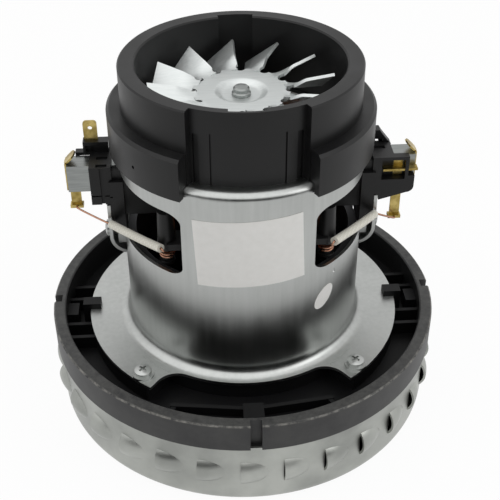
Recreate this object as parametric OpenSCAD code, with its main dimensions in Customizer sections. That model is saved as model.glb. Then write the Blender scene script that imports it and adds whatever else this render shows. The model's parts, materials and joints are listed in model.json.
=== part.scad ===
// Vacuum motor unit: a by-pass suction motor with a louvred fan casing, a moulded mounting ring,
// a windowed steel can with brush gear at its sides, and a cooling fan in a moulded collar.
// Millimetres, +Z up, origin in the middle of the casing's floor.

/* [Fan casing] */
// Outer diameter of the drum's wall
casing_d = 142; // [139:0.5:143]
// Height of the drum, up to the mounting ring
casing_h = 27.2; // [26:0.2:32]
// Aluminium sheet of the drum
casing_sheet = 0.8; // [0.6:0.1:1.2]
// Outside radius of the drum's bottom corner
casing_corner_r = 4.3; // [3:0.1:6]
// Bore of the intake eye
eye_d = 38.4; // [34:0.2:39]
// Height of the eye's turned-in lip
eye_lip_h = 5; // [3:0.2:6]
// Louvres round the wall
louvre_count = 30; // [20:1:32]
// Height of a louvre
louvre_h = 10.6; // [8:0.2:11]
// Length of a louvre along the wall
louvre_l = 9.6; // [8:0.2:11]
// How far a louvre stands out from the wall
louvre_rise = 2.2; // [1.6:0.1:2.8]
// Height of the louvres' middle
louvre_mid_z = 15; // [13:0.2:17]

/* [Mounting ring] */
// Outer diameter of the ring
ring_d = 144; // [143.6:0.2:150]
// Height of the ring above the drum
ring_h = 11.1; // [9:0.1:13]
// Width of the rim's top face
ring_rim_w = 4.5; // [4:0.1:5.5]
// Width of the four key slots
key_slot_w = 3.9; // [3:0.1:6]
// Depth of the four key slots
key_slot_depth = 3; // [2:0.1:3.4]
// Thickness of the ring's floor
ring_floor_t = 2.5; // [2:0.1:3]
// Height of the spigot that enters the drum
spigot_h = 3.2; // [2:0.1:4]
// Diameter of the deck under the flange's lip
deck_d = 92; // [88:0.2:93.2]
// Depth of the deck below the rim's top
deck_drop = 5.5; // [4:0.1:6.5]
// Width of a snap hook
hook_w = 4.5; // [3:0.1:6]
// Thickness of the ribs in the trough
rib_t = 1.6; // [1.2:0.1:2.4]

/* [Motor can] */
// Outer diameter of the can
can_d = 85.4; // [85:0.2:86]
// Height of the can, from the flange's underside to its top
can_h = 76.2; // [75.6:0.1:78]
// Steel sheet of the can
can_sheet = 1.2; // [1:0.1:1.4]
// Diameter over the flange's ears
flange_d = 117; // [115:0.2:118]
// Diameter of the flange where it is cut back
flange_lip_d = 93.6; // [92:0.2:96]
// Half angle of the two cut-backs
flange_cut_angle = 36.9; // [34:0.1:39]
// Radius in the corners of the cut-backs
flange_cut_r = 8; // [5:0.2:9]
// Fillet between the wall and the flange
bead_r = 4.1; // [3:0.1:4.4]
// Shoulder radius at the top
shoulder_r = 3; // [2:0.1:3.6]
// Height of the window sill above the flange's underside
window_sill = 41; // [40.6:0.1:42]
// Height of the windows
window_h = 24.2; // [22:0.1:25]
// Half angle of a window
window_angle = 59; // [56:0.5:62]
// Corner radius of the windows
window_corner_r = 3.5; // [2:0.1:5]
// Width of the strap in each window
strap_w = 14; // [12:0.2:15]
// Bend radius of the strap
strap_r = 7; // [6:0.2:9]
// Pitch circle of the flange screws
screw_pcd = 109.6; // [109:0.2:111]
// Angle of the flange screws from the front and the back
screw_angle = 43.5; // [43:0.1:50]
// Shank diameter of the screws
screw_d = 3; // [2.5:0.1:3.5]

/* [Top collar] */
// Outer diameter of the rim
rim_d = 81.4; // [79:0.2:84]
// Bore of the rim
rim_bore = 70; // [68:0.2:72]
// Height of the collar above the can
collar_h = 26; // [24:0.2:30]
// Diameter over the skirts
skirt_d = 91; // [89.4:0.2:91.2]
// Height of the skirts above the can's top
skirt_rise = 11.3; // [9:0.1:14]
// How far the skirts reach down over the can
skirt_drop = 3.4; // [2:0.1:3.6]
// Diameter over the two recessed panels
panel_d = 76; // [75:0.2:78]
// Half angle of a panel
panel_angle = 28; // [24:0.5:32]
// Diameter to the bottom of the inner grooves
groove_d = 74; // [72.4:0.1:74.4]
// Half angle of an inner groove
groove_angle = 9.9; // [8:0.1:14]

/* [Cooling fan] */
// Diameter over the blade tips
fan_d = 62.8; // [58:0.2:66]
// Number of blades
fan_blades = 12; // [8:1:13]
// Height of the fan's plate above the can
fan_lift = 13.5; // [13:0.1:16]
// Aluminium sheet of the fan
fan_sheet = 1; // [0.8:0.1:1.4]
// Diameter of the fan's plate
fan_hub_d = 33; // [30:0.2:36]
// Diameter of the dish pressed into the hub
dish_d = 18.8; // [16:0.2:20]
// Depth of the dish
dish_h = 1.5; // [0.8:0.1:2]
// Pitch of the blades at their tips
blade_pitch = 38; // [25:1:45]
// Width of a blade at its tip
blade_tip_w = 15; // [11:0.2:15]
// Width of a blade at its root
blade_root_w = 6.4; // [5:0.1:7]

/* [Shaft and bearings] */
// Shaft diameter in the bearings
shaft_d = 8; // [7.6:0.1:8.4]
// Shaft diameter under the fan
fan_seat_d = 6.4; // [5.6:0.1:6.8]
// Height of the shaft's tip above the fan's plate
shaft_tip_h = 2.6; // [2:0.1:4]
// Height of the shaft's lower end above the base
shaft_end_z = 8.5; // [7:0.1:9]
// Outer diameter of a bearing
bearing_od = 22; // [21:0.1:23]
// Width of a bearing
bearing_w = 7; // [6:0.1:7.2]
// Ball diameter
ball_d = 3.9; // [3.4:0.1:4]

/* [Stator and armature] */
// Height of the iron cores
core_h = 26; // [24:0.2:26.6]
// Height of the cores above the flange's underside
core_lift = 13.2; // [13:0.1:14]
// Armature diameter
armature_d = 44.8; // [43:0.2:45.4]
// Air gap between the armature and the poles
air_gap = 0.6; // [0.4:0.1:1]
// Width of the stator's yoke
yoke_w = 2.9; // [2.4:0.1:3]
// Width of a pole
pole_w = 30; // [27:0.2:30.4]
// Thickness of the pole shoes
shoe_t = 3.5; // [3:0.1:4]
// Half angle of a pole shoe
shoe_angle = 58; // [50:1:64]
// Slots in the armature
armature_slots = 12; // [10:1:13]
// Diameter of an armature slot
slot_d = 4.4; // [3.6:0.1:4.6]
// Commutator diameter
commutator_d = 23; // [22:0.2:24]
// Commutator length
commutator_h = 14; // [13:0.2:14.4]
// Commutator bars
commutator_bars = 24; // [18:1:30]

/* [Field coils] */
// Turns in each of a coil's two layers
coil_turns = 4; // [2:1:4]
// Wire diameter over its enamel
coil_wire_d = 1.1; // [0.9:0.05:1.15]
// Distance from turn to turn
coil_pitch = 1.6; // [1.58:0.01:1.62]
// Wall of the coil frames
frame_t = 1.6; // [1.4:0.1:1.8]

/* [Brush gear] */
// Height of the brush axis above the flange's underside
brush_lift = 60.5; // [60:0.1:61]
// Brush width
brush_w = 6.1; // [5.6:0.1:6.5]
// Brush height
brush_t = 8.9; // [8.2:0.1:9.4]
// Brush length
brush_l = 28; // [22:0.2:30]
// Wall of the brush tubes
tube_wall = 0.5; // [0.4:0.05:0.6]
// Reach of the brush tubes from the shaft's axis
tube_reach = 60.8; // [59:0.2:64]
// Width of a holder's body
holder_w = 14; // [13:0.2:15]
// Thickness of a holder's leg
leg_t = 4.8; // [4:0.1:5.4]
// Share of a tube's overhang that the holder's body covers
body_share = 0.45; // [0.35:0.01:0.6]
// Height of a holder's top block
block_h = 4; // [3:0.1:6]
// Width of the supply tabs
tab_w = 4.8; // [4:0.1:6.3]
// Thickness of the supply tabs
tab_t = 0.8; // [0.6:0.1:1]
// Length of the upright supply tab above its block
tab_h = 7.4; // [6:0.1:10]
// Wire of the brush springs
spring_wire_d = 0.7; // [0.5:0.05:0.8]
// Diameter over the brush springs
spring_d = 5.1; // [4:0.1:5.2]
// Curls in a brush spring
spring_curls = 8; // [6:1:10]
// Diameter of the lead sleeves
sleeve_d = 3; // [2:0.1:3.2]
// Diameter of the bare leads
lead_d = 0.7; // [0.5:0.05:1]

/* [Impeller] */
// Impeller diameter
impeller_d = 126; // [110:1:132]
// Number of impeller blades
impeller_blades = 7; // [5:1:9]
// Height of the back plate's underside above the base
impeller_z = 17.7; // [17:0.1:18.6]
// Aluminium sheet of the impeller
impeller_sheet = 1; // [0.8:0.1:1.2]
// Radius of curvature of an impeller blade
impeller_curve_r = 38; // [36:0.5:42]
// Nut width across its flats
nut_af = 13; // [12:0.1:14]
// Nut height
nut_h = 6; // [5:0.1:6.4]

/* [Clearances] */
// Between pieces that are fixed together
fit_gap = 0.05; // [0.02:0.01:0.1]
// Between the brushes and the commutator
brush_gap = 0.5; // [0.4:0.05:0.8]
// Between a brush and its tube
slide_gap = 0.15; // [0.1:0.01:0.2]
// Between pieces that run past each other
run_gap = 0.3; // [0.2:0.05:0.5]

/* [Hidden] */
$fn = 96;
// Overshoot of cuts past the faces that they open
over = 1;
black = "#2c2c2d";
steel = "#c6c8c8";
aluminium = "#d2d3d2";
brass = "#c9a24a";
copper = "#b8642c";

// Radii
casing_r = casing_d / 2;
casing_in_r = casing_r - casing_sheet;
eye_r = eye_d / 2;
ring_r = ring_d / 2;
ring_rim_in_r = ring_r - ring_rim_w;
deck_r = deck_d / 2;
can_r = can_d / 2;
can_in_r = can_r - can_sheet;
flange_r = flange_d / 2;
flange_lip_r = flange_lip_d / 2;
ear_angle = 90 - flange_cut_angle;
shaft_r = shaft_d / 2;
fan_seat_r = fan_seat_d / 2;
bearing_r = bearing_od / 2;
bearing_ring_t = (bearing_r - shaft_r) * 0.29;
ball_pitch_r = (bearing_r + shaft_r) / 2;
ball_count = 7;
stator_r = can_in_r - fit_gap;
yoke_in_r = stator_r - yoke_w;
armature_r = armature_d / 2;
pole_bore_r = armature_r + air_gap;
commutator_r = commutator_d / 2;

// Levels, from the base upwards
ring_top_z = casing_h + ring_h;
floor_z = casing_h - spigot_h;
floor_top_z = floor_z + ring_floor_t;
deck_z = ring_top_z - deck_drop;
flange_top_z = deck_z + can_sheet;
can_top_z = deck_z + can_h;
rim_top_z = can_top_z + collar_h;
window_z = deck_z + window_sill;
window_top_z = window_z + window_h;
core_z = deck_z + core_lift;
core_top_z = core_z + core_h;
brush_z = deck_z + brush_lift;
fan_z = can_top_z + fan_lift;

// Bearings: the lower one sits on a lip in the ring's hub, the upper one in a cup in the can's top
hub_lip_h = 6;
hub_wall = 3;
hub_r = bearing_r + hub_wall;
lower_bearing_z = floor_z + hub_lip_h;
cup_h = 7;
cup_r = bearing_r + fit_gap + can_sheet;
upper_bearing_z = can_top_z + cup_h - can_sheet - bearing_w;
inner_ring_r = shaft_r + bearing_ring_t;
bush_r = inner_ring_r - 0.2;
bush_hole_r = bush_r + 1.4;

// Brush gear, measured outwards from the shaft's axis
tube_w = brush_w + 2 * (slide_gap + tube_wall);
tube_h = brush_t + 2 * (slide_gap + tube_wall);
tube_start = commutator_r + 4.5;
brush_start = commutator_r + brush_gap;
brush_end = brush_start + brush_l;
cap_t = 0.6;
leg_start = can_in_r;
leg_end = leg_start + leg_t;
leg_w = holder_w + 2;
leg_z = window_z + run_gap;
leg_top_z = brush_z + 0.8;
strap_in = leg_end + run_gap;
strap_reach = strap_in + can_sheet;
strap_notch_w = strap_w + 1.2;
strap_bend_z = window_z - 3.3;
strap_bend_x = strap_reach - strap_r;
strap_end_turn = acos((can_r - 0.3 - strap_bend_x) / strap_r);
strap_end_z = strap_bend_z - (strap_r - can_sheet) * sin(strap_end_turn);
body_end = leg_end + body_share * (tube_reach - leg_end);
body_z = brush_z - tube_h / 2 - 3.6;
body_top_z = brush_z + tube_h / 2 + 1;
block_top_z = body_top_z + block_h;
strap_top_z = body_z - 2 * run_gap;
nut_start = leg_start + run_gap;
brush_nut_t = leg_t - 1.6;
brush_nut_w = 10.4;
brush_nut_z = strap_bend_z - strap_r / 2;
brush_nut_top_z = strap_bend_z + 1.8;
brush_screw_z = strap_bend_z - 0.3;

// Field coils: turns round a pole, flared out above the core
frame_half_w = pole_w / 2 + fit_gap + frame_t;
frame_z = core_z - frame_t;
frame_top_z = core_top_z + frame_t;
coil_corner_gap = 2.2;
coil_half_w = frame_half_w + coil_wire_d / 2 + coil_corner_gap;
coil_mid_z = core_z + core_h / 2;
coil_half_h = core_h / 2 + frame_t + coil_wire_d / 2 + coil_corner_gap;
coil_start_y = pole_bore_r + 1.4;
coil_flare = 0.2;
bridge_gap = 2;
bridge_z = coil_mid_z + coil_half_h + coil_pitch + coil_wire_d / 2 + bridge_gap;
bridge_t = 2.4;
post_x = 27;
post_y = coil_start_y + 2;
post_r = 3.2;
post_h = 13.4;
post_neck_r = 1.9;
post_neck_h = 5.6;

// A vector of length one
function unit(v) = v / norm(v);

// Directions along a path, and normals that follow it without twisting
function tangents(path) = let (last = len(path) - 1)
    [for (i = [0:last]) unit(path[min(i + 1, last)] - path[max(i - 1, 0)])];
function square_to(v, t) = unit(v - (v * t) * t);
function normals(ts, first) = [
    for (i = 0, n = square_to(first, ts[0]); i < len(ts);
        i = i + 1, n = i < len(ts) ? square_to(n, ts[i]) : n) n
];

// The least gap of a wire to itself, between points at least skip steps apart along it
function least_gap(path, d, skip) = let (last = len(path) - 1)
    min([for (i = [0:last - skip]) for (j = [i + skip:1:last]) norm(path[i] - path[j])]) - d;

// A round tube of triangles along a path
module wire(path, d, first, sides = 6) {
    ts = tangents(path);
    ns = normals(ts, first);
    count = len(path);
    points = [for (i = [0:count - 1]) for (k = [0:sides - 1])
        path[i] + d / 2 * (cos(360 * k / sides) * ns[i] + sin(360 * k / sides) * cross(ts[i], ns[i]))];
    walls = [for (i = [0:count - 2]) for (k = [0:sides - 1])
        let (a = i * sides + k, b = a + sides, n = i * sides + (k + 1) % sides)
        each [[a, b, n + sides], [a, n + sides, n]]];
    first_cap = [for (k = [1:sides - 2]) [0, k, k + 1]];
    tail = (count - 1) * sides;
    last_cap = [for (k = [1:sides - 2]) [tail, tail + k + 1, tail + k]];
    polyhedron(points = points, faces = concat(walls, first_cap, last_cap));
}

// A hollow tube of triangles along a path
module hollow_wire(path, d, bore, first, sides = 10) {
    ts = tangents(path);
    ns = normals(ts, first);
    count = len(path);
    inner = count * sides;
    points = [for (r = [d / 2, bore / 2]) for (i = [0:count - 1]) for (k = [0:sides - 1])
        path[i] + r * (cos(360 * k / sides) * ns[i] + sin(360 * k / sides) * cross(ts[i], ns[i]))];
    walls = [for (i = [0:count - 2]) for (k = [0:sides - 1])
        let (a = i * sides + k, b = a + sides, n = i * sides + (k + 1) % sides, m = n + sides)
        each [[a, b, m], [a, m, n], [a + inner, m + inner, b + inner], [a + inner, n + inner, m + inner]]];
    tail = (count - 1) * sides;
    ends = [for (k = [0:sides - 1])
        let (n = (k + 1) % sides, a = tail + k, b = tail + n)
        each [[k, n, n + inner], [k, n + inner, k + inner], [b, a, a + inner], [b, a + inner, b + inner]]];
    polyhedron(points = points, faces = concat(walls, ends));
}

// A ring, or a part of one about +X
module ring_sector(r_in, r_out, h, half_angle = 180) {
    rotate([0, 0, -half_angle])
        rotate_extrude(angle = 2 * half_angle)
            translate([r_in, 0])
                square([r_out - r_in, h]);
}

module tube_ring(r_in, r_out, h) {
    rotate_extrude()
        translate([r_in, 0])
            square([r_out - r_in, h]);
}

// Copies at +X and, turned half a turn, at -X
module both_sides() {
    for (turn = [0, 180])
        rotate([0, 0, turn])
            children();
}

// The outline of a quarter of a bent sheet, in the first quadrant
module sheet_bend(r_out, sheet) {
    intersection() {
        difference() {
            circle(r_out);
            circle(r_out - sheet);
        }
        square(r_out);
    }
}

// A rectangle with round corners, about its middle
module soft_rect(w, h, r) {
    square([w - 2 * r, h], center = true);
    square([w, h - 2 * r], center = true);
    for (x = [-1, 1])
        for (y = [-1, 1])
            translate([x * (w / 2 - r), y * (h / 2 - r)])
                circle(r);
}

// Fan casing

// A louvre is an upright arch, open at its mouth, that runs out into the wall along a wide arc
louvre_arch_r = (pow(louvre_h / 2, 2) + pow(louvre_rise, 2)) / (2 * louvre_rise);
louvre_drop = louvre_rise + casing_r - sqrt(pow(casing_r, 2) - pow(louvre_l, 2));
louvre_run_r = (pow(louvre_l, 2) + pow(louvre_drop, 2)) / (2 * louvre_drop);
louvre_phase = -94.2;

module louvre(arch_r) {
    translate([casing_r + louvre_rise - louvre_run_r, 0, louvre_mid_z])
        rotate_extrude(angle = 50)
            translate([louvre_run_r - louvre_arch_r, 0])
                circle(arch_r);
}

module louvre_places() {
    for (i = [0:louvre_count - 1])
        rotate([0, 0, louvre_phase + i * 360 / louvre_count])
            children();
}

module fan_casing() {
    color(aluminium)
        difference() {
            union() {
                rotate_extrude() {
                    translate([eye_r, 0])
                        square([casing_r - casing_corner_r - eye_r, casing_sheet]);
                    translate([eye_r, 0])
                        square([casing_sheet, eye_lip_h]);
                    translate([casing_r - casing_corner_r, casing_corner_r])
                        mirror([0, 1])
                            sheet_bend(casing_corner_r, casing_sheet);
                    translate([casing_in_r, casing_corner_r])
                        square([casing_sheet, casing_h - casing_corner_r]);
                }
                louvre_places()
                    difference() {
                        louvre(louvre_arch_r);
                        cylinder(r = casing_in_r + casing_sheet / 2, h = casing_h);
                    }
            }
            louvre_places()
                louvre(louvre_arch_r - casing_sheet);
        }
}

// Mounting ring

module flange_screw_places() {
    for (side = [-90, 90])
        for (turn = [-screw_angle, screw_angle])
            rotate([0, 0, side + turn])
                translate([screw_pcd / 2, 0, 0])
                    children();
}

trough_rib_top_z = deck_z - 1.2;
cut_rib_top_z = deck_z - 2.8;
spigot_r = casing_in_r - fit_gap;
wall_r = 0.944 * flange_r;
wall_slant = 7.6;
wall_end_angle = 27.5;
hook_nose = 4;
hook_t = 2.4;
hook_top_z = flange_top_z + run_gap + 2.2;
rim_bevel = 0.5;

rib_foot_z = floor_top_z - over;

module snap_hook() {
    translate([flange_r + run_gap, -hook_w / 2, rib_foot_z])
        cube([hook_t, hook_w, hook_top_z - rib_foot_z]);
    translate([flange_r - hook_nose, -hook_w / 2, flange_top_z + fit_gap])
        cube([hook_nose + run_gap + hook_t / 2, hook_w, hook_top_z - flange_top_z - fit_gap]);
}

// Ribs beside the hooks, from the deck's pads to the rim
module trough_ribs() {
    start_r = 0.9 * flange_r;
    for (y = [-15, -7.5, 7.5, 15])
        translate([start_r, y - rib_t / 2, rib_foot_z])
            cube([ring_rim_in_r + over - start_r, rib_t, trough_rib_top_z - rib_foot_z]);
}

// Ribs in the flange's cut-backs: two low walls that slant in from the key slot's boss,
// each with a radial rib at its end
module cut_back_ribs() {
    h = cut_rib_top_z - rib_foot_z;
    end_r = 0.974 * flange_r;
    for (s = [-1, 1]) {
        translate([wall_r, 0, rib_foot_z])
            rotate([0, 0, s * (90 + wall_slant)])
                translate([0, -rib_t / 2, 0])
                    cube([0.491 * flange_r, rib_t, h]);
        rotate([0, 0, s * wall_end_angle])
            translate([end_r, -rib_t / 2, rib_foot_z])
                cube([ring_rim_in_r + over - end_r, rib_t, h - 0.2]);
    }
}

// The block behind a key slot
module key_boss(in_r) {
    translate([in_r, -key_slot_w / 2 - rib_t, rib_foot_z])
        cube([ring_rim_in_r + over - in_r, key_slot_w + 2 * rib_t, deck_z - rib_foot_z]);
}

// Two wedges about +X and -X, longer than the flange
module ear_wedges(half_angle) {
    reach = 2 * flange_r;
    for (s = [-1, 1])
        polygon([[0, 0],
            s * reach * [cos(half_angle), -sin(half_angle)],
            s * reach * [2, 0],
            s * reach * [cos(half_angle), sin(half_angle)]]);
}

// The rim that the seal grips, and the step that rests on the drum
module rim_section() {
    polygon([
        [ring_rim_in_r, floor_top_z], [spigot_r, floor_top_z], [spigot_r, casing_h], [ring_r, casing_h],
        [ring_r, ring_top_z - rim_bevel], [ring_r - rim_bevel, ring_top_z],
        [ring_rim_in_r + rim_bevel, ring_top_z], [ring_rim_in_r, ring_top_z - rim_bevel]
    ]);
}

module mounting_ring() {
    color(black)
        difference() {
            rotate_extrude()
                rim_section();
            for (turn = [0, 90, 180, 270])
                rotate([0, 0, turn])
                    translate([ring_r - key_slot_depth, -key_slot_w / 2, casing_h])
                        cube([key_slot_depth + over, key_slot_w, ring_h + over]);
        }
}

// The round body of the plate inside the rim: its floor and the lower bearing's hub
module plate_section() {
    pocket_r = bearing_r + fit_gap;
    hub_top_z = lower_bearing_z + bearing_w;
    polygon([
        [bush_hole_r, floor_z], [spigot_r, floor_z], [spigot_r, floor_top_z],
        [hub_r, floor_top_z], [hub_r, hub_top_z],
        [pocket_r, hub_top_z], [pocket_r, lower_bearing_z], [bush_hole_r, lower_bearing_z]
    ]);
}

// The deck under the flange, wider under its two ears
module deck_outline() {
    pad_angle = ear_angle - 2;
    difference() {
        union() {
            circle(deck_r);
            intersection() {
                circle(flange_r - run_gap);
                ear_wedges(pad_angle);
            }
        }
        circle(can_r);
    }
}

module bearing_plate() {
    web_in_r = hub_r - over;
    // Behind the hooks, and with its foot on the floor
    side_boss_r = min(flange_r + 2 * hook_t, spigot_r - rib_t);
    color(black)
        difference() {
            union() {
                rotate_extrude()
                    plate_section();
                translate([0, 0, rib_foot_z])
                    linear_extrude(deck_z - rib_foot_z)
                        deck_outline();
                both_sides()
                    snap_hook();
                intersection() {
                    union() {
                        both_sides() {
                            trough_ribs();
                            key_boss(side_boss_r);
                        }
                        for (turn = [-90, 90])
                            rotate([0, 0, turn]) {
                                cut_back_ribs();
                                key_boss(wall_r + 0.3);
                            }
                    }
                    cylinder(r = ring_rim_in_r - fit_gap, h = ring_top_z);
                }
                for (turn = [0:45:315])
                    rotate([0, 0, turn])
                        translate([web_in_r, -rib_t / 2, rib_foot_z])
                            cube([can_r + over - web_in_r, rib_t, hub_lip_h]);
            }
            flange_screw_places()
                translate([0, 0, floor_top_z + run_gap])
                    cylinder(d = screw_d + 2 * fit_gap, h = deck_z);
        }
}

// Motor can

// The flange's outline: a round lip, two ears, and a fillet in each corner of the cut-backs
function corner_way(x, y, turn) = [x * cos(ear_angle + turn), y * sin(ear_angle + turn)];

module flange_outline() {
    fillet_r = flange_lip_r + flange_cut_r;
    fillet_turn = asin(flange_cut_r / fillet_r);
    tangent_r = fillet_r * cos(fillet_turn);
    circle(flange_lip_r);
    intersection() {
        circle(flange_r);
        ear_wedges(ear_angle);
    }
    for (x = [-1, 1])
        for (y = [-1, 1])
            difference() {
                intersection() {
                    circle(tangent_r);
                    polygon([[0, 0],
                        2 * tangent_r * corner_way(x, y, -1),
                        2 * tangent_r * corner_way(x, y, fillet_turn)]);
                }
                translate(fillet_r * corner_way(x, y, fillet_turn))
                    circle(flange_cut_r);
            }
}

module can_profile() {
    shoulder_x = can_r - shoulder_r;
    translate([can_in_r, deck_z])
        square([can_sheet, can_h - shoulder_r]);
    translate([shoulder_x, can_top_z - shoulder_r])
        sheet_bend(shoulder_r, can_sheet);
    translate([cup_r - can_sheet, can_top_z - can_sheet])
        square([shoulder_x - cup_r + can_sheet, can_sheet]);
    translate([cup_r - can_sheet, can_top_z - can_sheet])
        square([can_sheet, cup_h + can_sheet]);
    translate([bush_hole_r, can_top_z + cup_h - can_sheet])
        square([cup_r - bush_hole_r, can_sheet]);
    difference() {
        translate([can_in_r, deck_z])
            square([can_sheet + bead_r, can_sheet + bead_r]);
        translate([can_r + bead_r, flange_top_z + bead_r])
            circle(bead_r);
    }
}

module window_cut() {
    window_w = 2 * can_r * sin(window_angle);
    translate([0, 0, window_z + window_h / 2])
        rotate([90, 0, 90])
            linear_extrude(leg_end)
                soft_rect(window_w, window_h, window_corner_r);
    translate([0, -strap_notch_w / 2, strap_end_z])
        cube([leg_end, strap_notch_w, window_z + over - strap_end_z]);
    tube_half_w = tube_w / 2 + run_gap;
    translate([0, -tube_half_w, brush_z])
        cube([leg_end, 2 * tube_half_w, tube_h / 2 + run_gap]);
}

// A tongue of the can's sheet, bulged out in front of the holder's leg
module strap() {
    translate([0, strap_w / 2, 0])
        rotate([90, 0, 0])
            linear_extrude(strap_w) {
                translate([strap_in, strap_bend_z])
                    square([can_sheet, strap_top_z - strap_bend_z]);
                translate([strap_bend_x, strap_bend_z])
                    intersection() {
                        mirror([0, 1])
                            sheet_bend(strap_r, can_sheet);
                        polygon([[0, 0], [2 * strap_r, 0],
                            2 * strap_r * [1, -1],
                            2 * strap_r * [cos(strap_end_turn), -sin(strap_end_turn)]]);
                    }
            }
}

// A fine pressed line on each ear, beside its screw and square to the screw's radius
crease_w = 0.5;
dimple_angle = -46.3;

module ear_crease() {
    translate([0.82 * flange_r - screw_pcd / 2, -6, deck_z + can_sheet / 2])
        cube([crease_w, 12, can_sheet / 2 + 0.2]);
}

air_hole_in_r = cup_r + 4;
air_hole_out_r = rim_bore / 2 - 2;

module motor_can() {
    color(steel)
        difference() {
            union() {
                difference() {
                    rotate_extrude()
                        can_profile();
                    both_sides()
                        window_cut();
                }
                difference() {
                    translate([0, 0, deck_z])
                        linear_extrude(can_sheet)
                            flange_outline();
                    translate([0, 0, deck_z - over])
                        cylinder(r = can_r - can_sheet / 2, h = can_sheet + 2 * over);
                }
                both_sides()
                    strap();
                flange_screw_places()
                    ear_crease();
            }
            rotate([0, 0, dimple_angle])
                translate([can_r + 0.7, 0, brush_screw_z - 0.5])
                    sphere(1);
            both_sides()
                translate([strap_in - over, 0, brush_screw_z])
                    rotate([0, 90, 0])
                        cylinder(d = screw_d + 2 * fit_gap, h = can_sheet + 2 * over);
            flange_screw_places()
                translate([0, 0, deck_z - over])
                    cylinder(d = screw_d + 2 * fit_gap, h = can_sheet + 2 * over);
            for (turn = [0:60:300])
                rotate([0, 0, turn])
                    translate([0, 0, can_top_z - can_sheet - over])
                        ring_sector(air_hole_in_r, air_hole_out_r, can_sheet + 2 * over, 21);
        }
}

// Top collar

edge_cut = 0.5;
skirt_bevel = 1;
// The bare front panel is a tongue between two slits; the left skirt has a small pin hole
slit_angle = 0.64 * panel_angle;
slit_h = 0.7 * (rim_top_z - can_top_z);
pin_angle = -142.6;

module rim_profile() {
    r_in = rim_bore / 2;
    r_out = rim_d / 2;
    polygon([
        [r_in, can_top_z], [r_out, can_top_z],
        [r_out, rim_top_z - edge_cut], [r_out - edge_cut, rim_top_z],
        [r_in + edge_cut, rim_top_z], [r_in, rim_top_z - edge_cut]
    ]);
}

// A skirt hangs from the rim; its own sector sinks into the rim's
module skirt_profile() {
    root_r = rim_d / 2 - 1.5;
    root_z = can_top_z + 0.4;
    r_out = skirt_d / 2;
    r_in = can_r + run_gap;
    top_z = can_top_z + skirt_rise;
    polygon([
        [root_r, root_z], [r_in, root_z],
        [r_in, can_top_z - skirt_drop], [r_out, can_top_z - skirt_drop],
        [r_out, top_z - skirt_bevel], [r_out - skirt_bevel, top_z], [root_r, top_z]
    ]);
}

// A shallow upright slot in the face of a panel
module panel_slot(depth, h, half_angle) {
    translate([0, 0, can_top_z - over])
        ring_sector(panel_d / 2 - depth, panel_d / 2 + over, h + over, half_angle);
}

// The wall that stays behind the front panel, and joins the rim on both sides of it
panel_wall = 1.2;

module panel_back() {
    translate([0, 0, can_top_z + edge_cut])
        ring_sector(panel_d / 2 - panel_wall, rim_d / 2 - skirt_bevel,
            rim_top_z - can_top_z - 2 * edge_cut, panel_angle + 3);
}

module top_collar() {
    skirt_angle = 90 - panel_angle - 0.6;
    panel_cut_h = rim_top_z - can_top_z + 2 * over;
    color(black)
        difference() {
            union() {
                difference() {
                    union() {
                        rotate_extrude()
                            rim_profile();
                        rotate([0, 0, -90])
                            panel_back();
                    }
                    rotate([0, 0, -90])
                        translate([0, 0, can_top_z - over])
                            ring_sector(panel_d / 2, skirt_d / 2, panel_cut_h, panel_angle);
                }
                both_sides()
                    rotate([0, 0, -skirt_angle])
                        rotate_extrude(angle = 2 * skirt_angle)
                            skirt_profile();
            }
            for (turn = [-90, 90])
                rotate([0, 0, turn])
                    translate([0, 0, can_top_z + 4])
                        ring_sector(rim_bore / 2 - over, groove_d / 2, collar_h, groove_angle);
            for (s = [-1, 1]) {
                rotate([0, 0, -90 + s * slit_angle])
                    panel_slot(0.6, slit_h, 0.45);
                rotate([0, 0, -90 + s * (panel_angle - 2.7)])
                    panel_slot(1, slit_h - 0.6, 1.6);
            }
            rotate([0, 0, pin_angle])
                translate([skirt_d / 2 - 1.2, 0, can_top_z + 2.6])
                    rotate([0, 90, 0])
                        cylinder(d = 1.2, h = 3);
        }
}

// Flange screws

washer_t = 0.8;
washer_r = 3.9;
screw_head_r = 3;
screw_head_h = 2.1;
cross_w = 0.8;
cross_l = 3.2;
cross_depth = 1.1;

module pan_screw(shank) {
    difference() {
        union() {
            intersection() {
                cylinder(r = screw_head_r, h = screw_head_h);
                translate([0, 0, screw_head_h - 2 * screw_head_r])
                    sphere(2 * screw_head_r);
            }
            translate([0, 0, -shank])
                cylinder(d = screw_d, h = shank);
        }
        for (turn = [0, 90])
            rotate([0, 0, turn])
                translate([-cross_l / 2, -cross_w / 2, screw_head_h - cross_depth])
                    cube([cross_l, cross_w, cross_depth + over]);
    }
}

module flange_screws() {
    seat_z = flange_top_z + washer_t;
    color(steel)
        flange_screw_places()
            translate([0, 0, seat_z])
                pan_screw(seat_z - floor_top_z - 0.4);
}

module flange_washers() {
    color(steel)
        flange_screw_places()
            translate([0, 0, flange_top_z])
                tube_ring(screw_d / 2 + fit_gap, washer_r, washer_t);
}

// Stator

module pole_outline() {
    intersection() {
        circle(yoke_in_r + yoke_w / 2);
        translate([-pole_w / 2, pole_bore_r - over])
            square([pole_w, yoke_in_r]);
    }
    intersection() {
        circle(pole_bore_r + shoe_t);
        polygon([[0, 0],
            2 * pole_bore_r * [-sin(shoe_angle), cos(shoe_angle)],
            2 * pole_bore_r * [-sin(shoe_angle), 2],
            2 * pole_bore_r * [sin(shoe_angle), 2],
            2 * pole_bore_r * [sin(shoe_angle), cos(shoe_angle)]]);
    }
}

module stator_core() {
    color("#8d9092")
        translate([0, 0, core_z])
            linear_extrude(core_h)
                difference() {
                    union() {
                        difference() {
                            circle(stator_r);
                            circle(yoke_in_r);
                        }
                        for (turn = [0, 180])
                            rotate(turn)
                                pole_outline();
                    }
                    circle(pole_bore_r);
                }
}

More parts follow.
